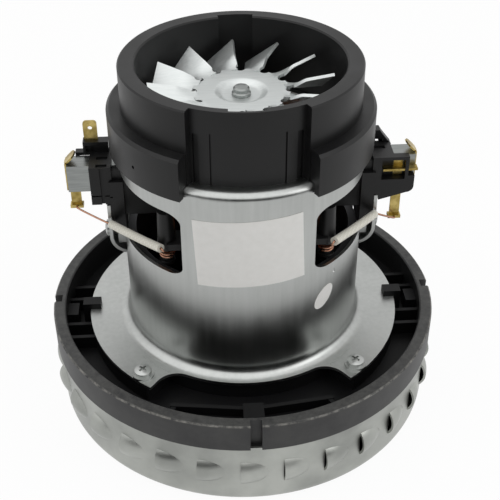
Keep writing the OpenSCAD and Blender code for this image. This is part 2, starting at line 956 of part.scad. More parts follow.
// A coil's turns are rounded rectangles that step outwards along the pole, then back in a second layer
function soft_cos(a) = sign(cos(a)) * pow(abs(cos(a)), 0.4);
function soft_sin(a) = sign(sin(a)) * pow(abs(sin(a)), 0.4);
function coil_point(turn) = let (
        a = 360 * turn,
        along = turn < coil_turns ? turn : 2 * coil_turns - turn,
        layer = coil_pitch * min(1, max(0, 2 * (turn - coil_turns) + 0.5)),
        up = soft_sin(a),
        flare = 1 + coil_flare * max(0, up - 0.6) / 0.4)
    [(coil_half_w + layer) * flare * soft_cos(a), coil_start_y + coil_pitch * along,
        coil_mid_z + (coil_half_h + layer) * up];
coil_steps = 24;
coil_path = [for (i = [0:2 * coil_turns * coil_steps]) coil_point(i / coil_steps)];
echo(str("field coil, least gap to itself in mm: ", least_gap(coil_path, coil_wire_d, coil_steps / 2)));

module field_coil() {
    color(copper)
        wire(coil_path, coil_wire_d, [0, 1, 0]);
}

module field_coil_rear() {
    field_coil();
}

module field_coil_front() {
    rotate([0, 0, 180])
        field_coil();
}

// A coil's frame lines its pole, and a bridge over the turns carries two posts
module coil_frame() {
    depth = coil_turns * coil_pitch + coil_wire_d + 1;
    start_y = coil_start_y - coil_wire_d / 2 - 0.4;
    height = frame_top_z - frame_z;
    bevel = 1;
    web_t = 1.4;
    web_lap = 0.3;
    web_half_w = frame_half_w - 4;
    color(black)
        intersection() {
            union() {
                translate([0, start_y + depth, coil_mid_z])
                    rotate([90, 0, 0])
                        linear_extrude(depth)
                            difference() {
                                intersection() {
                                    square([2 * frame_half_w, height], center = true);
                                    rotate(45)
                                        square(sqrt(2) * (frame_half_w + height / 2 - bevel), center = true);
                                }
                                square([pole_w + 2 * fit_gap, core_h + 2 * fit_gap], center = true);
                            }
                translate([-web_half_w, start_y - web_t, core_top_z + run_gap])
                    cube([2 * web_half_w, web_t + web_lap, bridge_z + bridge_t - core_top_z - run_gap]);
                translate([-post_x, start_y - web_t, bridge_z])
                    cube([2 * post_x, depth, bridge_t]);
                for (x = [-1, 1])
                    translate([x * post_x, post_y, bridge_z])
                        coil_post();
            }
            union() {
                cylinder(r = yoke_in_r - fit_gap, h = core_top_z);
                translate([0, 0, core_top_z])
                    cylinder(r = can_in_r - fit_gap, h = can_h);
            }
        }
}

// A post stands on the bridge, with a hole in its top and a neck below for the lead's end
module coil_post() {
    disc_r = post_neck_r + 0.9;
    disc_h = 1;
    hole_r = 1.2;
    hole_depth = 4;
    rotate_extrude()
        polygon([
            [0, -post_neck_h - disc_h], [disc_r, -post_neck_h - disc_h], [disc_r, -post_neck_h],
            [post_neck_r, -post_neck_h], [post_neck_r, 0], [post_r, 0],
            [post_r - 0.5, post_h], [hole_r, post_h],
            [hole_r, post_h - hole_depth], [0, post_h - hole_depth]
        ]);
}

module coil_frame_rear() {
    coil_frame();
}

module coil_frame_front() {
    rotate([0, 0, 180])
        coil_frame();
}

// Bearings

module bearing_ring(r_in, r_out) {
    rotate_extrude()
        difference() {
            translate([r_in, 0])
                square([r_out - r_in, bearing_w]);
            translate([ball_pitch_r, bearing_w / 2])
                circle(d = ball_d + 4 * fit_gap);
        }
}

module bearing_outer() {
    color(steel)
        bearing_ring(bearing_r - bearing_ring_t, bearing_r);
}

module bearing_inner() {
    color(steel)
        bearing_ring(shaft_r + fit_gap, inner_ring_r);
}

module upper_bearing_outer() {
    translate([0, 0, upper_bearing_z])
        bearing_outer();
}

module lower_bearing_outer() {
    translate([0, 0, lower_bearing_z])
        bearing_outer();
}

module upper_bearing_inner() {
    translate([0, 0, upper_bearing_z])
        bearing_inner();
}

module lower_bearing_inner() {
    translate([0, 0, lower_bearing_z])
        bearing_inner();
}

module bearing_balls() {
    color(steel)
        for (z = [lower_bearing_z, upper_bearing_z])
            for (i = [0:ball_count - 1])
                rotate([0, 0, i * 360 / ball_count])
                    translate([ball_pitch_r, 0, z + bearing_w / 2])
                        sphere(d = ball_d);
}

// Brush gear, drawn for the right side, outwards along +X

module tube_space(start, end) {
    translate([start, -tube_w / 2 - fit_gap, brush_z - tube_h / 2 - fit_gap])
        cube([end - start, tube_w + 2 * fit_gap, tube_h + 2 * fit_gap]);
}

side_wall_t = 2.8;
side_wall_start = strap_reach + run_gap;
side_wall_end = tube_reach - 0.5;
side_step = 2.3;
side_drop = 2.4;
side_corner_r = 2.5;
side_window_z = brush_z - 2.8;
side_window_h = 7.7;
cheek_start = tube_start + 8;
cheek_w = tube_w + 4.6;
cheek_z = body_z - 5;
foot_w = strap_notch_w - 2 * run_gap;

// A wall along one side of the tube: its foot rises outwards, and its upper half ends at the window
module side_wall_outline() {
    round_x = side_wall_end - side_corner_r;
    round_z = body_z + side_corner_r + 0.4;
    step_z = side_window_z + 1.3;
    polygon([
        [side_wall_start, body_z - side_drop], [round_x, body_z + 0.4],
        [round_x, round_z], [side_wall_end, round_z],
        [side_wall_end, step_z], [side_wall_end - side_step, step_z],
        [side_wall_end - side_step, body_top_z], [side_wall_start, body_top_z]
    ]);
    translate([round_x, round_z])
        circle(side_corner_r);
}

// The leg in the window, the body round the tube, the cheeks inside the can and the side wall
module holder_body() {
    difference() {
        union() {
            translate([leg_start, -leg_w / 2, leg_z])
                cube([leg_t, leg_w, leg_top_z - leg_z]);
            translate([leg_start, -foot_w / 2, brush_nut_top_z + fit_gap])
                cube([leg_t, foot_w, leg_z + over - brush_nut_top_z]);
            translate([cheek_start, -cheek_w / 2, cheek_z])
                cube([leg_end - cheek_start, cheek_w, window_top_z - run_gap - cheek_z]);
            translate([leg_end - over, -holder_w / 2, body_z])
                cube([body_end - leg_end + over, holder_w, body_top_z - body_z]);
            translate([0, side_wall_t - holder_w / 2, 0])
                rotate([90, 0, 0])
                    linear_extrude(side_wall_t)
                        side_wall_outline();
        }
        tube_space(cheek_start - over, tube_reach);
        translate([leg_end + 2.2, -holder_w / 2 - side_wall_t, side_window_z])
            cube([side_wall_end - side_step - leg_end - 3.4, 2 * side_wall_t, side_window_h]);
    }
}

block_y = tube_w / 2 + 0.2;
block_w = 3.8;
block_end = body_end + 2.3;
pocket_depth = 1.5;

// The block that carries the upright tab, with a square pocket in its face
module tab_block() {
    difference() {
        translate([leg_end, -block_y - block_w, body_top_z - over])
            cube([block_end - leg_end, block_w, block_h + over]);
        translate([block_end - 3.8, -block_y - pocket_depth, body_top_z - over / 2])
            cube([3, pocket_depth + over, block_h - 0.8]);
    }
}

// The plain holder's sloping horn, with a slot under it
module horn() {
    difference() {
        translate([0, block_y + block_w, 0])
            rotate([90, 0, 0])
                linear_extrude(block_w)
                    polygon([
                        [leg_end, body_top_z - over], [leg_end, block_top_z - 0.4],
                        [leg_end + 1, block_top_z + 0.8], [leg_end + 2.8, block_top_z + 0.8],
                        [leg_end + 4, block_top_z - 1], [body_end + 0.6, body_top_z - over]
                    ]);
        translate([leg_end - over, block_y - over, body_top_z])
            cube([5, pocket_depth + over, block_h / 3]);
    }
}

// Grooves in the open side of a body, and two slots in its top
module body_grooves() {
    groove = 0.7;
    translate([strap_reach + run_gap, holder_w / 2 - groove, body_z - over])
        cube([1.2, groove + over, body_top_z - body_z + 2 * over]);
    translate([leg_end - over, holder_w / 2 - groove, body_z + 3.2])
        cube([body_end - leg_end + 2 * over, groove + over, 0.5]);
    for (y = [-0.6, 4.6])
        translate([leg_end + 0.4, y, body_top_z - groove])
            cube([3.8, 2, groove + over]);
}

// The tabs: upright in a block on one holder, flat in the side window of the other
tab_y = block_y + pocket_depth + 0.2;
upright_tab_x = block_end - tab_w - 0.5;
flat_tab_z = brush_z + 0.4;

module brush_holder_right() {
    color(black)
        difference() {
            union() {
                holder_body();
                horn();
            }
            body_grooves();
            flat_tab_blank(fit_gap);
        }
}

module brush_holder_left() {
    color(black)
        rotate([0, 0, 180])
            difference() {
                union() {
                    holder_body();
                    tab_block();
                }
                body_grooves();
                upright_tab_blank(fit_gap);
            }
}

module upright_tab_blank(gap) {
    height = block_h + tab_h + 2;
    corner_r = 1.2;
    translate([upright_tab_x + tab_w / 2, -tab_y + gap, body_top_z - 2 + height / 2])
        rotate([90, 0, 0])
            linear_extrude(tab_t + 2 * gap)
                soft_rect(tab_w + 2 * gap, height + 2 * gap, corner_r);
}

module supply_tab_left() {
    hole_z = block_top_z + tab_h - 2.8;
    color(brass)
        rotate([0, 0, 180])
            difference() {
                upright_tab_blank(0);
                translate([upright_tab_x + tab_w / 2, 0, hole_z])
                    rotate([90, 0, 0])
                        cylinder(d = 1.6, h = holder_w);
            }
}

// The flat tab's root sits in the body, and the plate that it is folded from has its own length
flat_tab_root = 3.725;
flat_tab_start = body_end - flat_tab_root;
flat_tab_end = tube_reach + 0.5;
flat_tab_w = 3;
flat_plate_l = 3.175;

// The flat tab, with the plate that it is folded from against the tube
module flat_tab_blank(gap) {
    y = -tube_w / 2 - fit_gap;
    translate([flat_tab_start - gap, y - flat_tab_w - gap, flat_tab_z - gap])
        cube([flat_tab_end - flat_tab_start + 2 * gap, flat_tab_w + 2 * gap, tab_t + 2 * gap]);
    translate([body_end + run_gap - gap, y - tab_t / 2 - gap, side_window_z + run_gap])
        cube([flat_plate_l + 2 * gap, tab_t / 2 + 2 * gap, side_window_h - 2 * run_gap]);
}

module supply_tab_right() {
    color(brass)
        flat_tab_blank(0);
}

module brush_tube() {
    color("#a9adb0")
        difference() {
            translate([tube_start, -tube_w / 2, brush_z - tube_h / 2])
                cube([tube_reach - tube_start, tube_w, tube_h]);
            translate([tube_start - over, -tube_w / 2 + tube_wall, brush_z - tube_h / 2 + tube_wall])
                cube([tube_reach - tube_start + 2 * over, tube_w - 2 * tube_wall, tube_h - 2 * tube_wall]);
        }
}

module brush_tube_right() {
    brush_tube();
}

module brush_tube_left() {
    rotate([0, 0, 180])
        brush_tube();
}

cap_w = 5;
lug_l = 5.4;

// A brass plate over the tube's end, with a round lug folded back over its top
module brush_cap() {
    fold_z = brush_z + tube_h / 2 + run_gap;
    color(brass) {
        translate([tube_reach, -cap_w / 2, brush_z - tube_h / 2])
            cube([cap_t, cap_w, fold_z - brush_z + tube_h / 2]);
        translate([tube_reach + cap_t, 0, fold_z])
            rotate([0, -45, 0])
                translate([-cap_t, 0, 0])
                    rotate([90, 0, 90])
                        linear_extrude(cap_t)
                            difference() {
                                translate([0, lug_l / 2 - 0.4])
                                    soft_rect(cap_w, lug_l, cap_w / 2 - 0.3);
                                translate([-cap_w, -cap_w - 0.3])
                                    square([2 * cap_w, cap_w]);
                            }
    }
}

module brush_cap_right() {
    brush_cap();
}

module brush_cap_left() {
    rotate([0, 0, 180])
        brush_cap();
}

terminal_w = 3.6;
terminal_t = 0.6;
foot_h = 1.2;
lead_foot_half = 1.4;

// A brass leg under the tube with a foot that grips the lead
module lead_terminal(mid_x, foot_z) {
    top_z = brush_z - tube_h / 2;
    color(brass) {
        translate([mid_x - terminal_w / 2, -terminal_t / 2, foot_z])
            cube([terminal_w, terminal_t, top_z - foot_z]);
        translate([mid_x - terminal_w / 2 - 0.5, -lead_foot_half, foot_z])
            cube([terminal_w + 1, 2 * lead_foot_half, foot_h]);
    }
}

left_terminal_x = tube_reach - terminal_w / 2 - 0.1;
left_foot_z = body_z - 4.6;
right_terminal_x = body_end + 0.38 * (tube_reach - body_end);
right_foot_z = body_z - 14.4;

module lead_terminal_left() {
    rotate([0, 0, 180])
        lead_terminal(left_terminal_x, left_foot_z);
}

module lead_terminal_right() {
    lead_terminal(right_terminal_x, right_foot_z);
}

// The leads: one wire from the terminal, through a sleeve, to two turns round the neck of a post
wrap_steps = 12;
wrap_r = (post_neck_r + fit_gap + lead_d / 2) / cos(180 / wrap_steps);
wrap_z = bridge_z - 2 * lead_d - 2 * run_gap;
wrap_turns = 2;
wrap_pitch = 1.5 * lead_d;
post_place = [post_x, -post_y, wrap_z];
wrap_angle = -130;
// The sleeve runs past the front of the post, and the lead comes back under it to the neck
sleeve_start = [leg_end + 0.3, -leg_w / 2 - sleeve_d / 2 - run_gap, wrap_z - 0.4];
sleeve_end = [post_x + 0.6 * post_r, -post_y - post_r - sleeve_d / 2 - 3 * run_gap, bridge_z + 2.2];
sleeve_mid = (sleeve_start + sleeve_end) / 2 - [0, 0, 0.5];
function bend_point(a, b, c, t) = a * pow(1 - t, 2) + 2 * b * t * (1 - t) + c * pow(t, 2);
sleeve_path = [for (i = [0:8]) bend_point(sleeve_start, sleeve_mid, sleeve_end, i / 8)];
sleeve_in_way = unit(sleeve_path[1] - sleeve_path[0]);
function wrap_point(i) = let (a = wrap_angle - i * 360 / wrap_steps)
    post_place + [wrap_r * cos(a), wrap_r * sin(a), -wrap_pitch * i / wrap_steps];
wrap_path = [for (i = [0:wrap_turns * wrap_steps]) wrap_point(i)];
sleeve_out_way = unit(sleeve_path[8] - sleeve_path[7]);
under_post = [
    sleeve_end + 0.6 * sleeve_out_way,
    sleeve_end + 1.3 * sleeve_out_way - [0, 0, 0.9],
    [post_x, -post_y - post_r - 2.2 * lead_d, bridge_z - 0.5 * lead_d],
    wrap_point(-1) + [0.3 * lead_d, -0.5 * lead_d, 0.2 * lead_d]
];
function mirror_x(path) = [for (p = path) [-p[0], p[1], p[2]]];
function lead_path(x, foot_z) = concat(
    [
        [x, -lead_foot_half - fit_gap, foot_z + foot_h / 2],
        [x, -lead_foot_half - 1, foot_z + foot_h / 2],
        sleeve_start - 2 * sleeve_in_way + [1, 0, 0.15 * (foot_z - sleeve_start[2])],
        sleeve_start - 0.7 * sleeve_in_way
    ],
    sleeve_path, under_post, wrap_path
);
echo(str("lead, least gap to itself in mm: ", least_gap(wrap_path, lead_d, wrap_steps / 2)));

module lead_sleeve(left) {
    color("#d9d5c4")
        hollow_wire(left ? mirror_x(sleeve_path) : sleeve_path, sleeve_d, lead_d + 2 * slide_gap, [0, 0, 1]);
}

module lead_sleeve_right() {
    lead_sleeve(false);
}

module lead_sleeve_left() {
    lead_sleeve(true);
}

module lead_wire_right() {
    color(copper)
        wire(lead_path(right_terminal_x, right_foot_z), lead_d, [0, 0, 1]);
}

module lead_wire_left() {
    color(copper)
        wire(mirror_x(lead_path(left_terminal_x, left_foot_z)), lead_d, [0, 0, 1]);
}

module brush_screws() {
    color(steel)
        both_sides()
            translate([strap_reach, 0, brush_screw_z])
                rotate([0, 90, 0])
                    pan_screw(strap_reach - nut_start);
}

module brush_nuts() {
    color(steel)
        both_sides()
            difference() {
                translate([nut_start, -brush_nut_w / 2, brush_nut_z])
                    cube([brush_nut_t, brush_nut_w, brush_nut_top_z - brush_nut_z]);
                translate([nut_start - over, 0, brush_screw_z])
                    rotate([0, 90, 0])
                        cylinder(d = screw_d + 2 * fit_gap, h = brush_nut_t + 2 * over);
            }
}

module carbon_brush() {
    color("#3a3a3c")
        difference() {
            translate([0, -brush_w / 2, brush_z - brush_t / 2])
                cube([brush_end, brush_w, brush_t]);
            translate([0, 0, brush_z - brush_t])
                cylinder(r = brush_start, h = 2 * brush_t);
        }
}

module carbon_brush_right() {
    carbon_brush();
}

module carbon_brush_left() {
    rotate([0, 0, 180])
        carbon_brush();
}

// A spring behind each brush: curls between two short straight ends
spring_r = (spring_d - spring_wire_d) / 2;
spring_start = brush_end + 0.1;
spring_end = tube_reach - 0.05;
spring_steps = 8;
spring_pitch = (spring_end - spring_start - 2 * spring_wire_d) / spring_curls;
function spring_point(a) = [
    spring_start + spring_wire_d + spring_pitch * a / 360,
    spring_r * cos(a),
    brush_z + spring_r * sin(a)
];
spring_path = concat(
    [[spring_start, spring_r, brush_z]],
    [for (i = [0:spring_curls * spring_steps]) spring_point(i * 360 / spring_steps)],
    [[spring_end, spring_r, brush_z]]
);
spring_gap = least_gap(spring_path, spring_wire_d, spring_steps / 2);
echo(str("brush spring, least gap to itself in mm: ", spring_gap));

module brush_spring() {
    color("#8f9294")
        wire(spring_path, spring_wire_d, [0, 1, 0]);
}

module brush_spring_right() {
    brush_spring();
}

module brush_spring_left() {
    rotate([0, 0, 180])
        brush_spring();
}

// Rotor

fan_seat_z = upper_bearing_z + bearing_w;

// The slimmer end under the fan, with a shoulder above the dish and a bevel at its tip
module seat_profile(h) {
    neck = 0.86 * fan_seat_r;
    polygon([[0, 0], [fan_seat_r, 0], [fan_seat_r, h - 2.2], [neck, h - 1.8], [neck, h - 0.7],
        [neck - 0.7, h], [0, h]]);
}

module shaft() {
    tip_z = fan_z + shaft_tip_h;
    color("#b9bcbe") {
        translate([0, 0, shaft_end_z])
            cylinder(r = shaft_r, h = fan_seat_z - shaft_end_z);
        intersection() {
            translate([0, 0, fan_seat_z - over])
                rotate_extrude()
                    seat_profile(tip_z - fan_seat_z + over);
            translate([0, 0, tip_z - 2 * fan_seat_d])
                sphere(2 * fan_seat_d);
        }
    }
}

slot_pitch_r = armature_r - slot_d / 2 - 1.6;

module slot_places() {
    for (i = [0:armature_slots - 1])
        rotate(i * 360 / armature_slots)
            children();
}

module armature_core() {
    color("#8d9092")
        translate([0, 0, core_z])
            linear_extrude(core_h)
                difference() {
                    circle(armature_r);
                    circle(shaft_r + fit_gap);
                    slot_places() {
                        translate([slot_pitch_r, 0])
                            circle(d = slot_d);
                        translate([slot_pitch_r, -0.8])
                            square([armature_r, 1.6]);
                    }
                }
}

insulator_r = slot_pitch_r - slot_d / 2 - 0.4;
insulator_t = 1.2;

module armature_insulator() {
    color("#7a4630")
        for (z = [core_z - insulator_t, core_top_z])
            translate([0, 0, z])
                tube_ring(shaft_r + fit_gap, insulator_r, insulator_t);
}

riser_h = 1.6;
commutator_z = brush_z - commutator_h / 2;
winding_top_z = commutator_z - riser_h;
winding_z = lower_bearing_z + bearing_w + 1.8;

// The slots' bundles, joined by the rounded end turns at both ends
module armature_winding() {
    lower_r = slot_pitch_r + slot_d / 2 - 0.3;
    end_in_r = shaft_r + 2.4;
    color(copper) {
        slot_places()
            translate([slot_pitch_r, 0, core_z - insulator_t - over])
                cylinder(d = slot_d - 2 * fit_gap, h = core_h + 2 * (insulator_t + over));
        rotate_extrude() {
            polygon([
                [end_in_r, core_z - insulator_t], [end_in_r, winding_z + 0.8],
                [end_in_r + 3, winding_z], [lower_r - 3, winding_z],
                [lower_r, winding_z + 1.6], [lower_r, core_z - insulator_t]
            ]);
            polygon([
                [end_in_r, core_top_z + insulator_t], [end_in_r, winding_top_z],
                [commutator_r, winding_top_z], [lower_r - 2.4, winding_top_z - 3.4],
                [lower_r, winding_top_z - 7], [lower_r, core_top_z + insulator_t]
            ]);
        }
    }
}

module commutator() {
    bar_gap = 0.5;
    bar_depth = 1.6;
    color(copper)
        translate([0, 0, commutator_z])
            difference() {
                tube_ring(shaft_r + fit_gap, commutator_r, commutator_h);
                for (i = [0:commutator_bars - 1])
                    rotate([0, 0, i * 360 / commutator_bars])
                        translate([commutator_r - bar_depth, -bar_gap / 2, -over])
                            cube([2 * bar_depth, bar_gap, commutator_h + 2 * over]);
            }
}

// The ring of risers that joins the bars to the winding
module commutator_risers() {
    color(copper)
        translate([0, 0, winding_top_z])
            tube_ring(shaft_r + fit_gap, commutator_r + 1.1, riser_h);
}

// A fan blade is lofted along its radius: flat at its root, turned to its pitch further out
blade_phase = 12.7;
blade_root_r = fan_hub_d / 2 - 1.5;
blade_stations = 10;
function blade_share(k) = k / (blade_stations - 1);
function blade_section(k) = let (
        share = blade_share(k),
        turn = blade_pitch * (0.3 + 0.7 * min(1, share / 0.4)),
        half = (blade_root_w + (blade_tip_w - blade_root_w) * share) / 2,
        tip_r = sqrt(pow(fan_d / 2, 2) - pow(blade_tip_w / 2 * cos(blade_pitch), 2)),
        r = blade_root_r + (tip_r - blade_root_r) * share)
    [for (corner = [[-1, -1], [-1, 1], [1, 1], [1, -1]])
        [r, corner[0] * half * cos(turn) + corner[1] * fan_sheet / 2 * sin(turn),
            fan_z + fan_sheet / 2 - corner[0] * half * sin(turn) + corner[1] * fan_sheet / 2 * cos(turn)]];

module fan_blade() {
    points = [for (k = [0:blade_stations - 1]) each blade_section(k)];
    walls = [for (k = [0:blade_stations - 2]) for (j = [0:3])
        let (a = 4 * k + j, b = a + 4, n = 4 * k + (j + 1) % 4)
        each [[a, n + 4, b], [a, n, n + 4]]];
    tip = 4 * (blade_stations - 1);
    ends = [[0, 2, 1], [0, 3, 2], [tip, tip + 1, tip + 2], [tip, tip + 2, tip + 3]];
    polyhedron(points = points, faces = concat(walls, ends));
}

// The hub's sheet, pressed down into a dish round the shaft
dish_floor_r = inner_ring_r + 0.1;
dish_curve = [for (k = [0:8])
    [dish_floor_r + (dish_d / 2 - dish_floor_r) * k / 8, fan_z - dish_h * (1 + cos(180 * k / 8)) / 2]];

module hub_profile() {
    sheet_line = concat([[fan_seat_r + fit_gap, fan_z - dish_h]], dish_curve, [[fan_hub_d / 2, fan_z]]);
    last = len(sheet_line) - 1;
    polygon(concat(sheet_line, [for (k = [last:-1:0]) sheet_line[k] + [0, fan_sheet]]));
}

module cooling_fan() {
    relief_r = 1.3;
    color(aluminium)
        difference() {
            union() {
                rotate_extrude()
                    hub_profile();
                for (i = [0:fan_blades - 1])
                    rotate([0, 0, blade_phase + i * 360 / fan_blades])
                        fan_blade();
            }
            for (i = [0:fan_blades - 1])
                rotate([0, 0, blade_phase + (i + 0.5) * 360 / fan_blades])
                    translate([fan_hub_d / 2, 0, fan_z - over])
                        cylinder(r = relief_r, h = fan_sheet + 2 * over);
        }
}

module fan_bush() {
    color(steel)
        translate([0, 0, fan_seat_z])
            tube_ring(fan_seat_r + fit_gap, bush_r, fan_z - dish_h - fan_seat_z);
}

// Impeller

eye_gap = 1;
neck_r = eye_r + casing_sheet + eye_gap;
neck_z = casing_sheet + 1.6;
front_neck_z = 8.4;
front_rim_z = 10.4;
impeller_r = impeller_d / 2;

module impeller_back_plate() {
    color(aluminium)
        translate([0, 0, impeller_z])
            tube_ring(shaft_r + fit_gap, impeller_r, impeller_sheet);
}

module impeller_front_plate() {
    color(aluminium)
        rotate_extrude()
            polygon([
                [neck_r, neck_z], [neck_r + impeller_sheet, neck_z],
                [neck_r + impeller_sheet, front_neck_z - impeller_sheet],
                [impeller_r, front_rim_z - impeller_sheet], [impeller_r, front_rim_z],
                [neck_r, front_neck_z]
            ]);
}

// The blades are arcs of sheet between the plates, swept backwards
module impeller_blade_set() {
    arc_x = impeller_curve_r - 8;
    inner_r = neck_r + 1.5;
    outer_r = impeller_r - 0.6;
    slope = (front_rim_z - front_neck_z) / (impeller_r - neck_r);
    color(aluminium)
        intersection() {
            union()
                for (i = [0:impeller_blades - 1])
                    rotate([0, 0, i * 360 / impeller_blades])
                        linear_extrude(impeller_z)
                            intersection() {
                                translate([arc_x, 0])
                                    difference() {
                                        circle(impeller_curve_r);
                                        circle(impeller_curve_r - impeller_sheet);
                                    }
                                translate([-impeller_r, 0])
                                    square(2 * impeller_r);
                            }
            rotate_extrude()
                polygon([
                    [inner_r, front_neck_z + slope * (inner_r - neck_r) + fit_gap],
                    [outer_r, front_neck_z + slope * (outer_r - neck_r) + fit_gap],
                    [outer_r, impeller_z], [inner_r, impeller_z]
                ]);
        }
}

module impeller_bush() {
    start_z = impeller_z + impeller_sheet;
    color(steel)
        translate([0, 0, start_z])
            tube_ring(shaft_r + fit_gap, bush_r, lower_bearing_z - start_z);
}

impeller_washer_t = 1.2;

module impeller_washer() {
    color(steel)
        translate([0, 0, impeller_z - impeller_washer_t])
            tube_ring(shaft_r + fit_gap, nut_af / 2 + 2, impeller_washer_t);
}

module impeller_nut() {
    corner_r = nut_af / 2 / cos(30);
    color(steel)
        translate([0, 0, impeller_z - impeller_washer_t - nut_h])
            difference() {
                cylinder(r = corner_r, h = nut_h, $fn = 6);
                translate([0, 0, -over])
                    cylinder(r = shaft_r + fit_gap, h = nut_h + 2 * over);
            }
}

fan_casing();
mounting_ring();
bearing_plate();
motor_can();
top_collar();
flange_screws();
flange_washers();
stator_core();
field_coil_front();
field_coil_rear();
coil_frame_front();
coil_frame_rear();
upper_bearing_outer();
lower_bearing_outer();
bearing_balls();
brush_holder_left();
brush_holder_right();
brush_tube_left();
brush_tube_right();
brush_cap_left();
brush_cap_right();
lead_terminal_left();
lead_terminal_right();
supply_tab_left();
supply_tab_right();
lead_wire_left();
lead_wire_right();
lead_sleeve_left();
lead_sleeve_right();
brush_screws();
brush_nuts();
brush_spring_left();
brush_spring_right();
carbon_brush_left();
carbon_brush_right();
shaft();
armature_core();
armature_insulator();
armature_winding();
commutator();
commutator_risers();
cooling_fan();
fan_bush();
upper_bearing_inner();
lower_bearing_inner();
impeller_back_plate();
impeller_blade_set();
impeller_front_plate();
impeller_bush();
impeller_washer();
impeller_nut();
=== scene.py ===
# %% [markdown]
# # A vacuum motor unit
# The object is the suction motor of a vacuum cleaner: a louvred aluminium drum with the impeller
# in it, a black mounting ring, a steel motor can with brush gear at its sides, and a cooling fan
# in a black collar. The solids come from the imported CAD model. This lesson gives them their
# finishes, adds the thin and wound pieces that solids can't show well, and sets up the picture.

# %% Load the frame
import json
import math

import bpy
from mathutils import Matrix, Quaternion, Vector


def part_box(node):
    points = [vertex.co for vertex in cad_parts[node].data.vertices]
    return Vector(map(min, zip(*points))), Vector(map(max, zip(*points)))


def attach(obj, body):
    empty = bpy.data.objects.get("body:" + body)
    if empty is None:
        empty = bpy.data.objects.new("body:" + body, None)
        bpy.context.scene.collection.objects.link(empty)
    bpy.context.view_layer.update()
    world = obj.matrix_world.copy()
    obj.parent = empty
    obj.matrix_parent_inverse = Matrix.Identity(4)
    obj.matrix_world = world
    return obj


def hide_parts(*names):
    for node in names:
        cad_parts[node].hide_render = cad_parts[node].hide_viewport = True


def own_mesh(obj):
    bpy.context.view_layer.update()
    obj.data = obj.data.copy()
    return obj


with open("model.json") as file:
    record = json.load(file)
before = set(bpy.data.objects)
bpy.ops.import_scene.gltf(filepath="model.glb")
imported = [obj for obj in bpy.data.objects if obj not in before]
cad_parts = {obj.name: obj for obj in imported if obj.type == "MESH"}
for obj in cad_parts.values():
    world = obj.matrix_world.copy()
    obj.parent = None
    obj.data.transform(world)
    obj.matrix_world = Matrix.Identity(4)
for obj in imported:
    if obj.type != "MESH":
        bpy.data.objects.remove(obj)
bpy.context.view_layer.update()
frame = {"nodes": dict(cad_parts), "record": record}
MM = 0.001

# %% [markdown]
# ## Colours and nodes
# A hex colour is written for a screen, and Blender's shaders count in linear light, so one
# function turns one into the other. A second function adds any shader node with its settings
# and links. With these two a material is a short list of what it is made of.


# %% Colour and node helpers
def linear(hex_colour):
    parts = [int(hex_colour[i : i + 2], 16) / 255 for i in (1, 3, 5)]
    return [p / 12.92 if p <= 0.04045 else ((p + 0.055) / 1.055) ** 2.4 for p in parts] + [1.0]


def add(tree, kind, inputs=None, **settings):
    node = tree.nodes.new(kind)
    for name, value in settings.items():
        setattr(node, name, value)
    for name, value in (inputs or {}).items():
        if isinstance(value, bpy.types.NodeSocket):
            tree.links.new(value, node.inputs[name])
        else:
            node.inputs[name].default_value = value
    return node


def start_material(name, **settings):
    material = bpy.data.materials.new(name)
    material.use_nodes = True
    tree = material.node_tree
    shader = tree.nodes["Principled BSDF"]
    for socket, value in settings.items():
        shader.inputs[socket.replace("_", " ")].default_value = value
    place = add(tree, "ShaderNodeTexCoord").outputs["Object"]
    return material, tree, shader, place


def connect(tree, shader, **links):
    """Link values to the shader's sockets, with _ for a space in a socket's name."""
    for socket, value in links.items():
        tree.links.new(value, shader.inputs[socket.replace("_", " ")])


print("mid grey in linear light:", round(linear("#808080")[0], 3))

# %% [markdown]
# ## Patterns
# A real finish varies from place to place. A noise gives a value at every point of the object, with
# the size of its features written in millimetres. The value then picks a colour between two tones,
# is spread over a range of roughness, or raises a small bump.


# %% Pattern helpers
def per_mm(size):
    """The texture scale at which one feature is about size millimetres wide."""
    return 1 / (size * MM)


def noise(tree, place, size, detail, **more):
    inputs = {"Vector": place, "Scale": per_mm(size), "Detail": detail, **more}
    return add(tree, "ShaderNodeTexNoise", inputs).outputs["Fac"]


def stretch(tree, place, scale):
    """Coordinates that draw a pattern out along the axis whose scale is below one."""
    return add(tree, "ShaderNodeMapping", {"Vector": place, "Scale": scale}).outputs[0]


def two_tones(tree, value, first, last, start=0.0, end=1.0):
    """A colour that fades from the first tone to the last as the value goes from start to end."""
    ramp = add(tree, "ShaderNodeValToRGB", {"Fac": value})
    for stop, tone, position in zip(ramp.color_ramp.elements, (first, last), (start, end)):
        stop.color, stop.position = linear(tone), position
    return ramp.outputs[0]


def spread(tree, value, start, end, low=0.0, high=1.0):
    """The value mapped so that start gives low and end gives high."""
    inputs = {"Value": value, "From Min": start, "From Max": end, "To Min": low, "To Max": high}
    return add(tree, "ShaderNodeMapRange", inputs).outputs[0]


def bump(tree, height, strength, depth):
    inputs = {"Height": height, "Strength": strength, "Distance": depth * MM}
    return add(tree, "ShaderNodeBump", inputs).outputs[0]


print("texture scale for features of 1 mm:", per_mm(1))

# %% [markdown]
# ## Zinc-plated steel of the can
# The can is deep-drawn from zinc-plated sheet. Drawing leaves fine upright streaks, and the
# plating a soft, slightly cloudy sheen. A noise that is stretched along Z gives the streaks,
# a wide noise gives the clouds, and both move the roughness a little, as on the real sheet.
# Upright streaks also smear what the metal mirrors sideways, which the anisotropy gives.

